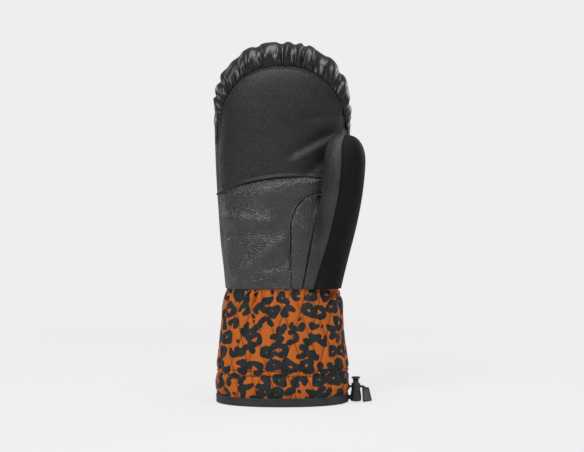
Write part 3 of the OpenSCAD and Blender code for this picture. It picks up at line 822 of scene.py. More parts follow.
# A strip of the hand's edge closes the space under the crotch.
edge_levels = np.linspace(158, CROSS_Z - 1.5, 60)
edge_share = np.linspace(0, 1, 50)
edge_half_w = hand_section(edge_levels)[0] * 0.9999
edge_x = mix(36 + 0 * edge_half_w[:, None], edge_half_w[:, None], np.sin(np.pi / 2 * edge_share)[None, :])
edge_z = edge_levels[:, None] + 0 * edge_x
edge_z = np.minimum(edge_z, cross_seam_z(edge_x) + 0.2)
edge_grid = np.stack([edge_x, hand_face(edge_x, edge_z, -1, 0.12), edge_z], axis=2)
hand_edge = thicken(face_front(grid_object("hand_edge_leather", edge_grid), -1), LEATHER_T - 0.2)
finish(hand_edge, matte_leather)
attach(hand_edge, "mitten")

for panel in (grip, side_panel):
    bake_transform(panel)

# ---- Back of the hand and gathered fingertips ----
# Smooth glossy leather covers the back, comes over the fingertips and is gathered on the
# palm's seam: about fifty small pleats at the seam that run together into a dozen folds.

BACK_SEAM_R = 190.0
BACK_SEAM_Z = CROTCH_Z - 3


def back_seam_z(x):
    return BACK_SEAM_Z - BACK_SEAM_R + np.sqrt(BACK_SEAM_R**2 - x**2)


def fingertip_grid():
    """Rows run from the back seam over the edge to the palm seam; columns fan across."""
    hub = np.array([0.0, 150.0])
    corner = hand_section(back_seam_z(HAND_HALF_W - 1.3))[0] * 0.9992
    first = math.degrees(math.atan2(back_seam_z(corner) - hub[1], corner))
    turns = np.radians(np.linspace(first, 180 - first, 540))
    way = np.stack([np.cos(turns), np.sin(turns)], axis=1)
    low, high = np.zeros(len(turns)), np.full(len(turns), 190.0)
    for _ in range(45):
        reach = (low + high) / 2
        x, z = hub[0] + way[:, 0] * reach, hub[1] + way[:, 1] * reach
        inside = (np.abs(x) < hand_section(z)[0]) & (z < TIP_Z)
        low, high = np.where(inside, reach, low), np.where(inside, high, reach)
    edge = reach * 0.99995
    seam = even_loop(upper_outline(), 4000)
    seam_turn = np.arctan2(seam[:, 1] - hub[1], seam[:, 0] - hub[0])
    keep = seam[:, 1] > cross_seam_z(seam[:, 0]) + 1
    order = np.argsort(seam_turn[keep])
    seam_reach = np.hypot(seam[keep, 0] - hub[0], seam[keep, 1] - hub[1])[order]
    front = np.interp(turns, seam_turn[keep][order], seam_reach)
    low, high = np.zeros(len(turns)), edge.copy()
    for _ in range(40):
        middle = (low + high) / 2
        below = hub[1] + way[:, 1] * middle < back_seam_z(hub[0] + way[:, 0] * middle)
        low, high = np.where(below, middle, low), np.where(below, high, middle)
    back = low + 0.15
    rows_back, rows_front = 36, 54
    over_share = np.sin(np.radians(np.linspace(0, 90, rows_back)))
    under_share = np.linspace(0, 1, rows_front + 1)[1:] ** 1.7
    grids = []
    for start, stop, share, side in (
        (back, edge, over_share, 1),
        (edge, np.minimum(front, edge), under_share, -1),
    ):
        far = start[None, :] + (stop - start)[None, :] * share[:, None]
        x = hub[0] + way[None, :, 0] * far
        z = hub[1] + way[None, :, 1] * far
        grids.append(np.stack([x, hand_face(x, z, side), z], axis=2))
    return np.concatenate(grids, axis=0)


SMALL_PLEAT, MIDDLE_FOLD, BIG_FOLD = 4.2, 7.6, 15.5


def gathers(points):
    """Pleats along the seam: s is the distance along it, d the distance up from it."""
    seam_line = points[-1]
    s = run_length(seam_line)
    s = (s - s[-1] / 2)[None, :]
    down = np.linalg.norm(np.diff(points, axis=0), axis=2)
    d = np.concatenate([np.cumsum(down[::-1], axis=0)[::-1], np.zeros((1, points.shape[1]))], axis=0)
    front = smooth((seam_line[:, 2] - 236) / 34)[None, :]
    warp = 2.2 * np.sin(s / 13.0 + 0.7) + 1.3 * np.sin(s / 6.1 + 2.1) + 0.5 * np.sin(s / 2.9)
    run = s + 0.16 * d * np.sin(s / 60)

    def folds(pitch, shift, valley):
        wave = np.cos(2 * np.pi * (run + shift) / pitch)
        return np.where(wave > 0, np.abs(wave) ** 0.8, -valley * np.abs(wave) ** 0.7)

    small = folds(SMALL_PLEAT, warp, 1.5) * np.exp(-((d / 5.5) ** 1.5))
    middle = folds(MIDDLE_FOLD, 1.6 * warp + 0.02 * d**1.4, 1.5) * bell(d - 9, 9.0)
    big = folds(BIG_FOLD, 2.4 * warp + 1.5 * np.sin(d / 14 + s / 17), 1.7)
    big = big * smooth(d / 8) * bell(np.maximum(d - 20, 0), 17)
    height = 0.75 * small + 0.7 * middle + 0.95 * big
    puff = 2.2 * smooth(d / 11) * bell(np.maximum(d - 12, 0), 22) - 1.2 * np.exp(-d / 1.8)
    return (height + puff) * front - 0.8 * np.exp(-d / 1.5) * (1 - front)


tip_grid = fingertip_grid()
tip_grid = tip_grid + outward(tip_grid) * gathers(tip_grid)[:, :, None]
fingertips = thicken(grid_object("finger_back_leather", tip_grid), LEATHER_T)
on_mitten(fingertips, gloss_leather, "gloss_leather", "finger_back_panel")

back_turn = np.radians(np.linspace(0.0, 180.0, 200))
back_share = np.linspace(0, 1, 90)
back_x = hand_section(150)[0] * spow(np.cos(back_turn), OVAL)
back_z = mix(CUFF_H, back_seam_z(back_x)[None, :] - 0.2, back_share[:, None])
back_half_w, back_half_d, back_centre = hand_section(back_z)
around_x, around_y = oval_xy(back_turn[None, :], back_half_w, back_half_d)
back_grid = np.stack([around_x, back_centre + around_y, back_z], axis=2)
back_away = np.minimum(back_z - CUFF_H, back_seam_z(back_x)[None, :] - back_z)
back_height = edge_roll(back_away, 1.2, 3.0, 0.5) + 0.35 * np.sin(back_z / 13 + around_x / 17)
back_grid += outward(back_grid) * back_height[:, :, None]
hand_back = thicken(grid_object("hand_back_leather", back_grid), LEATHER_T)
on_mitten(hand_back, gloss_leather, "gloss_leather", "hand_back_panel")

# ---- Gauntlet cuff ----
# Printed satin fabric quilted to thin wadding with slanting lines of dark thread. It tapers
# to the wrist, is tucked up inside the leather and is gathered a little under its edge.

HEM_HALF_W = hem_high.x - 1.2
HEM_HALF_D = hem_high.y - 1.2
CASING_H = 27.0
BINDING_H = hem_high.z
TUCK_HALF_W = WRIST_HALF_W - 1.5
TUCK_HALF_D = WRIST_HALF_D - 1.5
CUFF_PROFILE = np.array([
    (0, HEM_HALF_W),
    (BINDING_H, HEM_HALF_W),
    (CASING_H * 0.5, HEM_HALF_W + 1.6),
    (CASING_H * 0.8, HEM_HALF_W + 1.2),
    (CASING_H, HEM_HALF_W - 0.2),
    (CASING_H + 5, HEM_HALF_W + 0.6),
    (mix(CASING_H, CUFF_H, 0.45), mix(HEM_HALF_W, WRIST_HALF_W, 0.44) + 0.6),
    (mix(CASING_H, CUFF_H, 0.8), mix(HEM_HALF_W, WRIST_HALF_W, 0.8) + 0.6),
    (CUFF_H - 6, WRIST_HALF_W + 0.6),
    (CUFF_H - 1, TUCK_HALF_W),
    (CUFF_H + 21, TUCK_HALF_W),
])


def cuff_half_w(z):
    fine = np.interp(z, CUFF_PROFILE[:, 0], CUFF_PROFILE[:, 1])
    blur = sum(np.interp(z + d, CUFF_PROFILE[:, 0], CUFF_PROFILE[:, 1]) for d in (-2.4, -1.2, 1.2, 2.4))
    return (fine + blur) / 5


def cuff_half_d(half_w):
    return mix(TUCK_HALF_D, HEM_HALF_D, (half_w - TUCK_HALF_W) / (HEM_HALF_W - TUCK_HALF_W))


def cuff_points(turn, z):
    half_w = cuff_half_w(z)
    return np.stack([*oval_xy(turn, half_w, cuff_half_d(half_w)), z + 0 * turn], axis=2)


QUILT_STEP = 15.5
QUILT_SLOPE = 0.34
QUILT_LINES = ((1, 0.0), (-1, 6.0))


def quilt_distance(s, z):
    """Distance to the nearest quilting line; s runs round the cuff in millimetres."""
    best = np.full(np.broadcast(s, z).shape, 99.0)
    for lean, shift in QUILT_LINES:
        offset = (s - lean * QUILT_SLOPE * z + shift) % QUILT_STEP
        best = np.minimum(best, np.minimum(offset, QUILT_STEP - offset) / math.hypot(1, QUILT_SLOPE))
    return best


def even_turns(count, first, last):
    """Turns round the cuff, evenly spaced along its own line."""
    fine = np.linspace(first, last, 4000)
    line = cuff_points(np.radians(fine)[None, :], np.array([[60.0]]))[0]
    along = run_length(line)
    return np.interp(np.linspace(0, along[-1], count), along, fine), along[-1]


def animal_print(s, z):
    """How far inside a mark of the print each point is, in millimetres: below 0 is orange.

    Marks stand in staggered rows: open and closed rings, beans, and small spots between.
    """
    pick = np.random.default_rng(11)
    s2 = s + 0.8 * np.sin(z / 4.1 + s / 9) + 0.5 * np.sin(z / 2.3 - s / 5)
    z2 = z + 0.8 * np.sin(s / 4.4 - z / 8) + 0.5 * np.sin(s / 2.6 + z / 6)
    inside = np.full(s2.shape, -9.0)
    s_low, s_high = s2.min(), s2.max()

    def stroke(points, radii):
        for (cs, cz), r in zip(points, radii):
            near = (np.abs(s2 - cs) < r + 4) & (np.abs(z2 - cz) < r + 4)
            inside[near] = np.maximum(inside[near], r - np.hypot(s2[near] - cs, z2[near] - cz))

    for row in range(10):
        for column in range(-1, 34):
            cs = 14.6 * column + 7.3 * (row % 2) + pick.uniform(-2.2, 2.2)
            cz = 12.2 * row - 2 + pick.uniform(-1.8, 1.8)
            ring, span = pick.uniform(3.3, 4.7), pick.choice((90, 200, 250, 300, 360))
            first, swell = pick.uniform(0, 360), pick.uniform(0, 6)
            bold = pick.uniform(2.3, 3.05)
            if not s_low - 12 < cs < s_high + 12:
                continue
            arc = np.radians(first + np.linspace(0, span, 16))
            radii = bold * (1 + 0.22 * np.sin(3 * arc + swell)) * (1.15 if span < 150 else 1)
            ring_s, ring_z = cs + 1.12 * ring * np.cos(arc), cz + 0.9 * ring * np.sin(arc)
            stroke(np.stack([ring_s, ring_z], axis=1), radii)
    for _ in range(1400):
        cs, cz, r = pick.uniform(-5, 480), pick.uniform(0, 114), pick.uniform(1.3, 2.3)
        if not s_low < cs < s_high:
            continue
        spot = np.unravel_index(np.argmin(np.hypot(s2 - cs, z2 - cz)), s2.shape)
        if inside[spot] < -r - 0.9:
            stroke([(cs, cz)], [r])
    return inside


STITCH_ROWS = (CASING_H - 0.6, CASING_H + 3.6)
CUFF_TOP = CUFF_H + 10.5
LOCK_TURN = -8
DEEPEST = -1.8


def cuff_panel(name, first, last, start_s):
    turns, length = even_turns(330, first, last)
    z = np.concatenate([np.linspace(1.2, 32, 50), np.linspace(32.7, CUFF_TOP, 95)])
    s = (start_s + np.linspace(0, length, len(turns)))[None, :]
    turn = np.radians(turns)[None, :]
    zz = z[:, None] + 0 * turn
    points = cuff_points(turn, zz)
    height = 1.7 * (1 - np.exp(-quilt_distance(s, zz) / 1.6)) - 1.1 - 0.9 * smooth((zz - 80) / 14)
    for row in STITCH_ROWS:
        height = height - bell(zz - row, 0.9)
    near_lock = bell(turns[None, :] - LOCK_TURN, 34) + bell(turns[None, :] - LOCK_TURN - 360, 34)
    ruche = np.sin(s / 1.15 + 1.3 * np.sin(s / 4.7)) * 0.7 + np.sin(s / 2.6 + 1) * 0.8
    height = height + near_lock * ruche * bell(zz - CASING_H - 1, 11)
    height = height + 0.3 * np.sin(s / 1.9 + np.sin(s / 5)) * bell(zz - CASING_H + 8, 7)
    tuck = np.sin(s / 7.5 + 0.6) * 1.3 + np.sin(s / 3.4 + 2) * 0.7
    height = height + tuck * bell(zz - CUFF_H + 8, 10)
    x = points[:, :, 0]
    gathered = bell(x + 24, 11) + bell(x - 43, 10)
    lobes = np.abs(np.sin(np.pi * (x + 0.12 * (CUFF_H - zz)) / 7.5)) ** 0.8
    height = height + gathered * (4.2 * lobes - 1.4) * bell(zz - CUFF_H + 7, 9)
    height = np.maximum(height, DEEPEST) * smooth((CUFF_H - 0.3 - zz) / 3) * smooth((zz - 4) / 5)
    points = points + outward(points) * height[:, :, None]
    uv = np.stack([s + 0 * zz, zz + 0 * s], axis=2)
    cloth = grid_object(name, points, uv)
    print_mark = cloth.data.attributes.new("mark", "FLOAT", "POINT")
    print_mark.data.foreach_set("value", animal_print(s + 0 * zz, zz).ravel().astype(np.float32))
    return thicken(cloth, 0.8), points, s[0], z


def print_material():
    """Rings and spots of dark slate on orange satin, woven fine."""
    made, tree, shader = plain_material("print fabric", (0.5, 0.14, 0.03), 0.62)
    place = add(tree, "ShaderNodeUVMap", uv_map="cloth")
    mark = add(tree, "ShaderNodeAttribute", attribute_name="mark")
    frayed = noise(tree, place.outputs[0], 1.1, 2)
    edge = calc(tree, "MULTIPLY_ADD", frayed.outputs["Fac"], 0.5, mark.outputs["Fac"])
    dark = add(tree, "ShaderNodeMapRange", {"Value": edge.outputs[0], "From Min": 0.12, "From Max": 0.42})
    weave = noise(tree, place.outputs[0], 1.4, 4)
    tones = {0: dark.outputs[0]}
    for end, low, high in (
        (6, (0.40, 0.078, 0.004, 1), (0.58, 0.145, 0.016, 1)),
        (7, (0.006, 0.009, 0.010, 1), (0.020, 0.028, 0.031, 1)),
    ):
        dyed = {0: weave.outputs["Fac"], 6: low, 7: high}
        tones[end] = add(tree, "ShaderNodeMix", dyed, data_type="RGBA").outputs[2]
    tone = add(tree, "ShaderNodeMix", tones, data_type="RGBA")
    tree.links.new(tone.outputs[2], shader.inputs["Base Color"])
    split = add(tree, "ShaderNodeSeparateXYZ", {0: place.outputs[0]})
    threads = []
    for axis in (0, 1):
        turn = calc(tree, "MULTIPLY", split.outputs[axis], 2 * math.pi / 0.45)
        threads.append(calc(tree, "SINE", turn.outputs[0]))
    woven = calc(tree, "MAXIMUM", threads[0].outputs[0], threads[1].outputs[0])
    bump(tree, shader, woven.outputs[0], 0.35, 0.00008)
    shader.inputs["Specular IOR Level"].default_value = 0.22
    return made


print_fabric = print_material()
cuff_front, front_cloth, front_s, cuff_z = cuff_panel("cuff_palm_fabric", -179.9, -0.1, 0.0)
on_mitten(cuff_front, print_fabric, "print_fabric", "cuff_palm_panel")
cuff_back, back_cloth, back_s, cuff_z = cuff_panel("cuff_back_fabric", 0.1, 179.9, 300.0)
finish(cuff_back, print_fabric)
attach(cuff_back, "mitten")
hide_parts("cuff_back_panel")

# ---- Wadding, membrane and lining ----
# The wadding is a lofty polyester fleece under the leather and the cuff fabric. A film insert and
# a short pile lining lie inside it, and a smooth woven lining inside the cuff.


FILM_THUMB_Z = 176
WADDING_GIVE = 2.4
OUTER_WITHIN = 2.0


def ply_copy(name, node, give=0, outer_inset=0):
    """A soft ply with the CAD ply's shape, drawn in by give on its outer face only.

    The film's thumb tip is a piece of its own, so the hand's film ends below it.
    """
    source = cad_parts[node]
    mesh = source.data.copy()
    made = bpy.data.objects.new(name, mesh)
    bpy.context.collection.objects.link(made)
    work = bmesh.new()
    work.from_mesh(mesh)
    bmesh.ops.remove_doubles(work, verts=work.verts, dist=0.00001)
    if node == "membrane_insert":
        over = []
        for vertex in work.verts:
            x, y, z = vertex.co / MM
            ax, ay = thumb_axis(z)
            if z > FILM_THUMB_Z and math.hypot(x - ax, y - ay) < THUMB_R:
                over.append(vertex)
        bmesh.ops.delete(work, geom=over, context="VERTS")
    work.to_mesh(mesh)
    work.free()
    mesh.materials.clear()
    if give:
        places = np.empty(len(mesh.vertices) * 3)
        mesh.vertices.foreach_get("co", places)
        places = places.reshape(-1, 3) / MM
        x, y, z = places.T
        hand = np.abs(body_distance(x, y, z, outer_inset)) < OUTER_WITHIN
        half_w = cuff_half_w(z) - outer_inset
        half_d = cuff_half_d(cuff_half_w(z)) - outer_inset
        out = (np.abs(x / half_w) ** OVAL + np.abs(y / half_d) ** OVAL) ** (1 / OVAL)
        outer = np.where(z < CUFF_H + 11, np.abs(out - 1) < 0.03, hand)
        centre = np.where(z < 160, 0, hand_section(z)[2])
        away = np.stack([x, y - centre, 0 * z], axis=1)
        away /= np.maximum(np.linalg.norm(away, axis=1), 1e-6)[:, None]
        places = places - away * (give * outer)[:, None]
        mesh.vertices.foreach_set("co", (places * MM).ravel())
    mesh.shade_smooth()
    return made


def fleece_material(name, dark, light, scale, depth, roughness, sheen):
    made, tree, shader = plain_material(name, dark, roughness)
    place = add(tree, "ShaderNodeTexCoord")
    tuft = noise(tree, place.outputs["Object"], scale, 6, Roughness=0.7)
    two_tone(tree, shader, tuft.outputs["Fac"], dark, light)
    bump(tree, shader, tuft.outputs["Fac"], 0.9, depth)
    shader.inputs["Sheen Weight"].default_value = sheen
    return made


wadding = fleece_material("polyester wadding", (0.62, 0.62, 0.6), (0.8, 0.8, 0.79), 260, 0.0012, 0.95, 0.2)
film = fleece_material("membrane film", (0.45, 0.5, 0.56), (0.55, 0.6, 0.66), 90, 0.0002, 0.35, 0.0)
pile = fleece_material("pile lining", (0.02, 0.02, 0.022), (0.07, 0.07, 0.074), 900, 0.0012, 0.95, 0.6)
woven_lining = fleece_material("cuff lining", (0.02, 0.022, 0.025), (0.035, 0.038, 0.042), 1500, 0.0001, 0.6, 0.2)

WADDING_IN = LEATHER_T + 0.3


def follow(ply, node):
    """A thumb ply is left unparented with its place baked in, as the thumb's leather is, and every other ply rides on
    the mitten.
    """
    if node.startswith("thumb"):
        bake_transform(ply)
    else:
        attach(ply, "mitten")
    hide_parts(node)


for node, inset in (
    ("palm_wadding", WADDING_IN),
    ("back_wadding", WADDING_IN),
    ("thumb_wadding_root", WADDING_IN),
    ("thumb_wadding_tip", WADDING_IN),
    ("cuff_palm_wadding", 1.3),
    ("cuff_back_wadding", 1.3),
):
    pad = finish(ply_copy(node + "_batt", node, WADDING_GIVE, inset), wadding)
    follow(pad, node)

for node, material, slot in (
    ("membrane_insert", film, "membrane"),
    ("thumb_membrane_tip", film, "membrane"),
    ("palm_lining", pile, "pile_lining"),
    ("back_lining", pile, "pile_lining"),
    ("thumb_lining_root", pile, "pile_lining"),
    ("thumb_lining_tip", pile, "pile_lining"),
    ("cuff_lining", woven_lining, "cuff_lining"),
):
    follow(finish(ply_copy(node + "_cloth", node), material), node)

# ---- Sewing thread ----
# Lockstitches of dark polyester thread: the quilting, the two rows over the casing, the top
# stitch along the palm's arc and the row that holds the binding. Each stitch is a short strand.


def stitch_tree():
    """Strands along the edges of a mesh: Pitch apart, Length long and Thickness thick."""
    tree = bpy.data.node_groups.new("row of stitches", "GeometryNodeTree")
    tree.interface.new_socket("Path", in_out="INPUT", socket_type="NodeSocketGeometry")
    for label in ("Pitch", "Length", "Thickness"):
        tree.interface.new_socket(label, in_out="INPUT", socket_type="NodeSocketFloat")
    tree.interface.new_socket("Thread", in_out="INPUT", socket_type="NodeSocketMaterial")
    tree.interface.new_socket("Stitches", in_out="OUTPUT", socket_type="NodeSocketGeometry")
    start = tree.nodes.new("NodeGroupInput")
    end = tree.nodes.new("NodeGroupOutput")
    line = add(tree, "GeometryNodeMeshToCurve", {"Mesh": start.outputs["Path"]})
    given = start.outputs
    spaced = {"Curve": line.outputs[0], "Length": given["Pitch"]}
    even = add(tree, "GeometryNodeResampleCurve", spaced, mode="LENGTH")
    strand = add(tree, "GeometryNodeMeshUVSphere", {"Segments": 6, "Rings": 5, "Radius": 0.5})
    along = add(tree, "GeometryNodeInputTangent")
    turned = add(tree, "FunctionNodeAlignEulerToVector", {"Vector": along.outputs[0]}, axis="X")
    girth = {0: given["Length"], 1: given["Thickness"], 2: given["Thickness"]}
    scale = add(tree, "ShaderNodeCombineXYZ", girth)
    placed = add(tree, "GeometryNodeInstanceOnPoints", {
        "Points": even.outputs[0],
        "Instance": strand.outputs[0],
        "Rotation": turned.outputs[0],
        "Scale": scale.outputs[0],
    })
    real = add(tree, "GeometryNodeRealizeInstances", {0: placed.outputs[0]})
    threaded = {"Geometry": real.outputs[0], "Material": given["Thread"]}
    sewn = add(tree, "GeometryNodeSetMaterial", threaded)
    tree.links.new(sewn.outputs[0], end.inputs["Stitches"])
    return tree


stitch_nodes = stitch_tree()


def sew(name, lines, pitch, length, thickness, thread):
    """A mesh of stitches along lines of points given in millimetres."""
    points, edges = [], []
    for line in lines:
        first = len(points)
        points += (np.asarray(line) * MM).tolist()
        edges += [(first + k, first + k + 1) for k in range(len(line) - 1)]
    mesh = bpy.data.meshes.new(name)
    mesh.from_pydata(points, edges, [])
    made = bpy.data.objects.new(name, mesh)
    bpy.context.collection.objects.link(made)
    row = made.modifiers.new("stitches", "NODES")
    row.node_group = stitch_nodes
    wanted = {"Pitch": pitch * MM, "Length": length * MM, "Thickness": thickness * MM, "Thread": thread}
    for item in stitch_nodes.interface.items_tree:
        if item.in_out == "INPUT" and item.name in wanted:
            row[item.identifier] = wanted[item.name]
    bake(made)
    made.data.shade_smooth()
    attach(made, "mitten")
    return made


def thread_material(name, dark, light):
    made, tree, shader = plain_material(name, dark, 0.55)
    place = add(tree, "ShaderNodeTexCoord")
    strands = {"Vector": place.outputs["Object"], "Scale": 900, "Distortion": 2}
    twist = add(tree, "ShaderNodeTexWave", strands, bands_direction="DIAGONAL")
    two_tone(tree, shader, twist.outputs["Fac"], dark, light)
    bump(tree, shader, twist.outputs["Fac"], 0.5, 0.0001)
    return made


brown_thread = thread_material("brown thread", (0.012, 0.007, 0.005), (0.03, 0.018, 0.012))
black_thread = thread_material("black thread", (0.012, 0.012, 0.013), (0.04, 0.04, 0.042))
grey_thread = thread_material("grey thread", (0.04, 0.04, 0.042), (0.09, 0.09, 0.094))


def on_cloth(cloth, cloth_s, s, z, lift=0.08):
    """Points of the sewn cuff at lengths s round it and heights z, lifted off the cloth."""
    column = np.interp(s, cloth_s, np.arange(len(cloth_s)))
    row = np.interp(z, cuff_z, np.arange(len(cuff_z)))
    c = np.minimum(column.astype(int), len(cloth_s) - 2)
    r = np.minimum(row.astype(int), len(cuff_z) - 2)
    u, v = (column - c)[:, None], (row - r)[:, None]
    low, high = mix(cloth[r, c], cloth[r, c + 1], u), mix(cloth[r + 1, c], cloth[r + 1, c + 1], u)
    found = mix(low, high, v)
    away = found * (1, 1, 0)
    return found + lift * away / np.linalg.norm(away, axis=1)[:, None]


QUILT_TOP = CUFF_H + 1
QUILT_MARGIN = 60
for side, cloth, cloth_s in (("palm", front_cloth, front_s), ("back", back_cloth, back_s)):
    quilting = []
    first_line = int((cloth_s[0] - QUILT_MARGIN) // QUILT_STEP)
    last_line = int((cloth_s[-1] + QUILT_MARGIN) // QUILT_STEP)
    for lean, shift in QUILT_LINES:
        for k in range(first_line, last_line + 1):
            z = np.linspace(BINDING_H + 1, QUILT_TOP, 60)
            s = lean * QUILT_SLOPE * z - shift + k * QUILT_STEP
            kept = (s > cloth_s[0] + 1) & (s < cloth_s[-1] - 1)
            if kept.sum() > 4:
                quilting.append(on_cloth(cloth, cloth_s, s[kept], z[kept]))
    sew("quilting_" + side, quilting, 2.3, 2.3, 0.6, brown_thread)
    along = np.linspace(cloth_s[0] + 0.5, cloth_s[-1] - 0.5, 260)
    rows = [on_cloth(cloth, cloth_s, along, row + 0 * along, 0.15) for row in STITCH_ROWS]
    sew("casing_stitches_" + side, rows, 3.2, 2.7, 0.75, brown_thread)

arc_x = np.linspace(-HAND_HALF_W + 2.4, GUSSET_END_X + 1, 160)
arc_z = cross_seam_z(arc_x) + TOP_STITCH_IN
arc_away = TOP_STITCH_IN + 0 * arc_x
arc_y = hand_face(arc_x, arc_z, -1) - upper_shape(arc_x, arc_z, arc_away) - 0.1
sew("palm_top_stitch", [np.stack([arc_x, arc_y, arc_z], axis=1)], 3.0, 2.5, 0.55, grey_thread)

# ---- Hem binding ----
# One woven tape folded over the raw edge of every ply of the cuff and sewn through. Its fold
# is the flat edge that the mitten stands on.

BINDING_PROFILE = [
    (0.3, 7.3), (0.55, 7.5), (0.95, 7.42), (1.2, 7.0), (1.2, 5.9), (1.02, 5.4), (1.2, 4.9),
    (1.2, 1.0), (1.0, 0.35), (0.4, 0.03), (-0.6, 0.0), (-5.2, 0.0), (-6.1, 0.05), (-6.7, 0.4),
    (-6.8, 1.0), (-6.8, 7.0), (-6.6, 7.4), (-6.2, 7.5), (-5.95, 7.2), (-5.9, 1.6),
    (-5.4, 0.95), (-0.5, 0.95), (0.2, 1.5),
]


def band_round(name, half_w, half_d, profile, steps, wave=0.0):
    """A closed band: its profile's (outset, height) points carried round the hem's outline."""
    turn = np.linspace(0, 2 * np.pi, steps, endpoint=False)
    x, y = oval_xy(turn, half_w, half_d)
    line = np.stack([x, y], axis=1)
    tangent = np.roll(line, -1, axis=0) - np.roll(line, 1, axis=0)
    tangent /= np.linalg.norm(tangent, axis=1)[:, None]
    along = run_length(line)
    ripple = wave * (np.sin(along / 3.1 + np.sin(along / 9)) + 0.6 * np.sin(along / 1.7))
    points, uv = [], []
    across = 0.0
    for k, (out, z) in enumerate(profile):
        if k:
            across += math.hypot(out - profile[k - 1][0], z - profile[k - 1][1])
        shift = out + ripple * min(max(z - 1, 0) / 4, 1)
        ring_x, ring_y = x + tangent[:, 1] * shift, y - tangent[:, 0] * shift
        points.append(np.stack([ring_x, ring_y, z + 0 * x], axis=1))
        uv.append(np.stack([along, across + 0 * along], axis=1))
    faces = []
    for k in range(len(profile)):
        here, there = k * steps, (k + 1) % len(profile) * steps
        for i in range(steps):
            beside = (i + 1) % steps
            faces.append((here + i, there + i, there + beside, here + beside))
    return mesh_object(name, np.concatenate(points), faces, np.concatenate(uv))


def tape_material(name, dark, light, rib):
    """Fine ribs across the tape, and slow changes of tone."""
    made, tree, shader = plain_material(name, dark, 0.62)
    place = add(tree, "ShaderNodeUVMap", uv_map="cloth")
    split = add(tree, "ShaderNodeSeparateXYZ", {0: place.outputs[0]})
    waves = []
    for axis, pitch in ((0, rib), (1, rib * 1.4)):
        turn = calc(tree, "MULTIPLY", split.outputs[axis], 2 * math.pi / pitch)
        waves.append(calc(tree, "SINE", turn.outputs[0]))
    woven = calc(tree, "MAXIMUM", waves[0].outputs[0], waves[1].outputs[0])
    slow = noise(tree, place.outputs[0], 0.09, 4)
    two_tone(tree, shader, slow.outputs["Fac"], dark, light)
    bump(tree, shader, woven.outputs[0], 0.5, 0.00012)
    return made


binding_tape = tape_material("binding tape", (0.008, 0.009, 0.01), (0.028, 0.031, 0.034), 0.5)
black_tape = tape_material("black tape", (0.008, 0.008, 0.009), (0.016, 0.016, 0.017), 0.5)
white_elastic = tape_material("white elastic", (0.62, 0.62, 0.6), (0.75, 0.75, 0.73), 0.9)

binding = band_round("hem_binding_tape", HEM_HALF_W, HEM_HALF_D, BINDING_PROFILE, 360, 0.12)
face_outwards(binding)
on_mitten(binding, binding_tape, "binding_tape", "hem_binding")

BINDING_STITCH_OUT, BINDING_STITCH_Z = 1.16, 5.4
hem_turn = np.linspace(0, 2 * np.pi, 361)
hem_x, hem_y = oval_xy(hem_turn, HEM_HALF_W + BINDING_STITCH_OUT, HEM_HALF_D + BINDING_STITCH_OUT)
hem_row = np.stack([hem_x, hem_y, BINDING_STITCH_Z + 0 * hem_turn], axis=1)
sew("binding_stitches", [hem_row], 3.0, 2.4, 0.5, black_thread)

# ---- Wrist elastic, casing tape and drawcord ----
# A white woven elastic gathers the wrist, a black tape closes the casing, and the drawcord
# runs in it all the way round, to where its end is sewn down.

for node, material, slot, half_w, half_d, (low_z, high_z), (outer_in, inner_in) in (
    ("wrist_elastic", white_elastic, "elastic", TUCK_HALF_W, TUCK_HALF_D, (CUFF_H + 0.3, CUFF_H + 9.7), (1.35, 2.25)),
    ("casing_tape", black_tape, "binding_tape", HEM_HALF_W + 0.6, HEM_HALF_D + 0.6, (9.2, 25.8), (4.2, 4.7)),
):
    profile = [(-outer_in, low_z), (-outer_in, high_z), (-inner_in, high_z), (-inner_in, low_z)]
    band = face_outwards(band_round(node + "_band", half_w, half_d, profile, 240))
    on_mitten(band, material, slot, node)

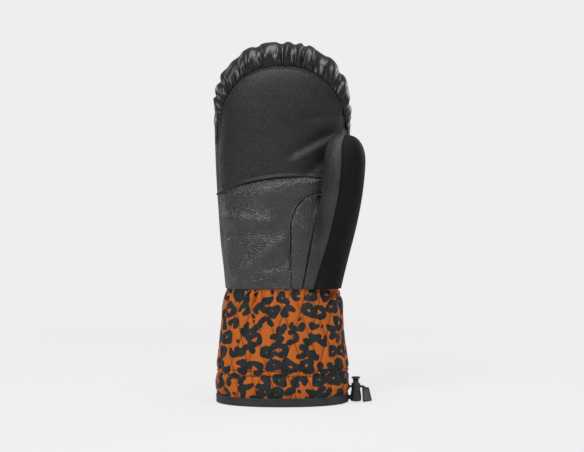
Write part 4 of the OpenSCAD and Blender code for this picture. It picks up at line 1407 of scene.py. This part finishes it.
CASING_HALF_W = HEM_HALF_W + 1.45
CORD_IN = 2.55
loop_turn = np.radians(np.linspace(-20, -352, 200))
loop_x, loop_y = oval_xy(loop_turn, CASING_HALF_W - CORD_IN, cuff_half_d(CASING_HALF_W) - CORD_IN)
loop = np.stack([loop_x, loop_y, TAIL_ROUTE[0][2] + 0 * loop_turn], axis=1)
loop = np.vstack([np.array(TAIL_ROUTE[0]) - (0.06, 0.15, 0), loop])
on_mitten(tube("drawcord_loop", loop, CORD_WIDTH / 2, 12), braided_cord, "cord", "drawcord")

# ---- Cord lock, eyelet and cord end ----
# Injection-moulded acetal parts with a fine spark-eroded texture, a steel spring inside the
# lock, and a tape loop that ties the lock to the binding.


def moulded_material(name, dark, light, roughness):
    """Fine mould texture, with slow changes of tone."""
    made, tree, shader = plain_material(name, dark, roughness)
    place = add(tree, "ShaderNodeTexCoord")
    fine = noise(tree, place.outputs["Object"], 4200, 2)
    slow = noise(tree, place.outputs["Object"], 260, 4)
    two_tone(tree, shader, slow.outputs["Fac"], dark, light)
    rub = {"Value": slow.outputs["Fac"], "To Min": roughness - 0.08, "To Max": roughness + 0.1}
    gloss = add(tree, "ShaderNodeMapRange", rub)
    tree.links.new(gloss.outputs[0], shader.inputs["Roughness"])
    bump(tree, shader, fine.outputs["Fac"], 0.4, 0.00005)
    return made


moulded_black = moulded_material("black acetal", (0.008, 0.008, 0.009), (0.016, 0.016, 0.017), 0.36)
moulded_grey = moulded_material("cord end lid", (0.05, 0.05, 0.053), (0.08, 0.08, 0.084), 0.4)
steel = moulded_material("spring steel", (0.42, 0.42, 0.43), (0.55, 0.55, 0.56), 0.28)
steel.node_tree.nodes["Principled BSDF"].inputs["Metallic"].default_value = 1

for node, material in (
    ("cord_eyelet", moulded_black),
    ("lock_barrel", moulded_black),
    ("lock_button", moulded_black),
    ("cord_end_body", moulded_black),
    ("cord_end_lid", moulded_grey),
    ("lock_spring", steel),
):
    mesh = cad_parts[node].data
    mesh.materials.clear()
    mesh.materials.append(material)

tether = ply_copy("tether_loop", "lock_tether")
tether.data.shade_flat()
tether_tape = thread_material("tether tape", (0.008, 0.008, 0.009), (0.02, 0.02, 0.021))
finish(tether, tether_tape)
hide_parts("lock_tether")
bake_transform(tether)
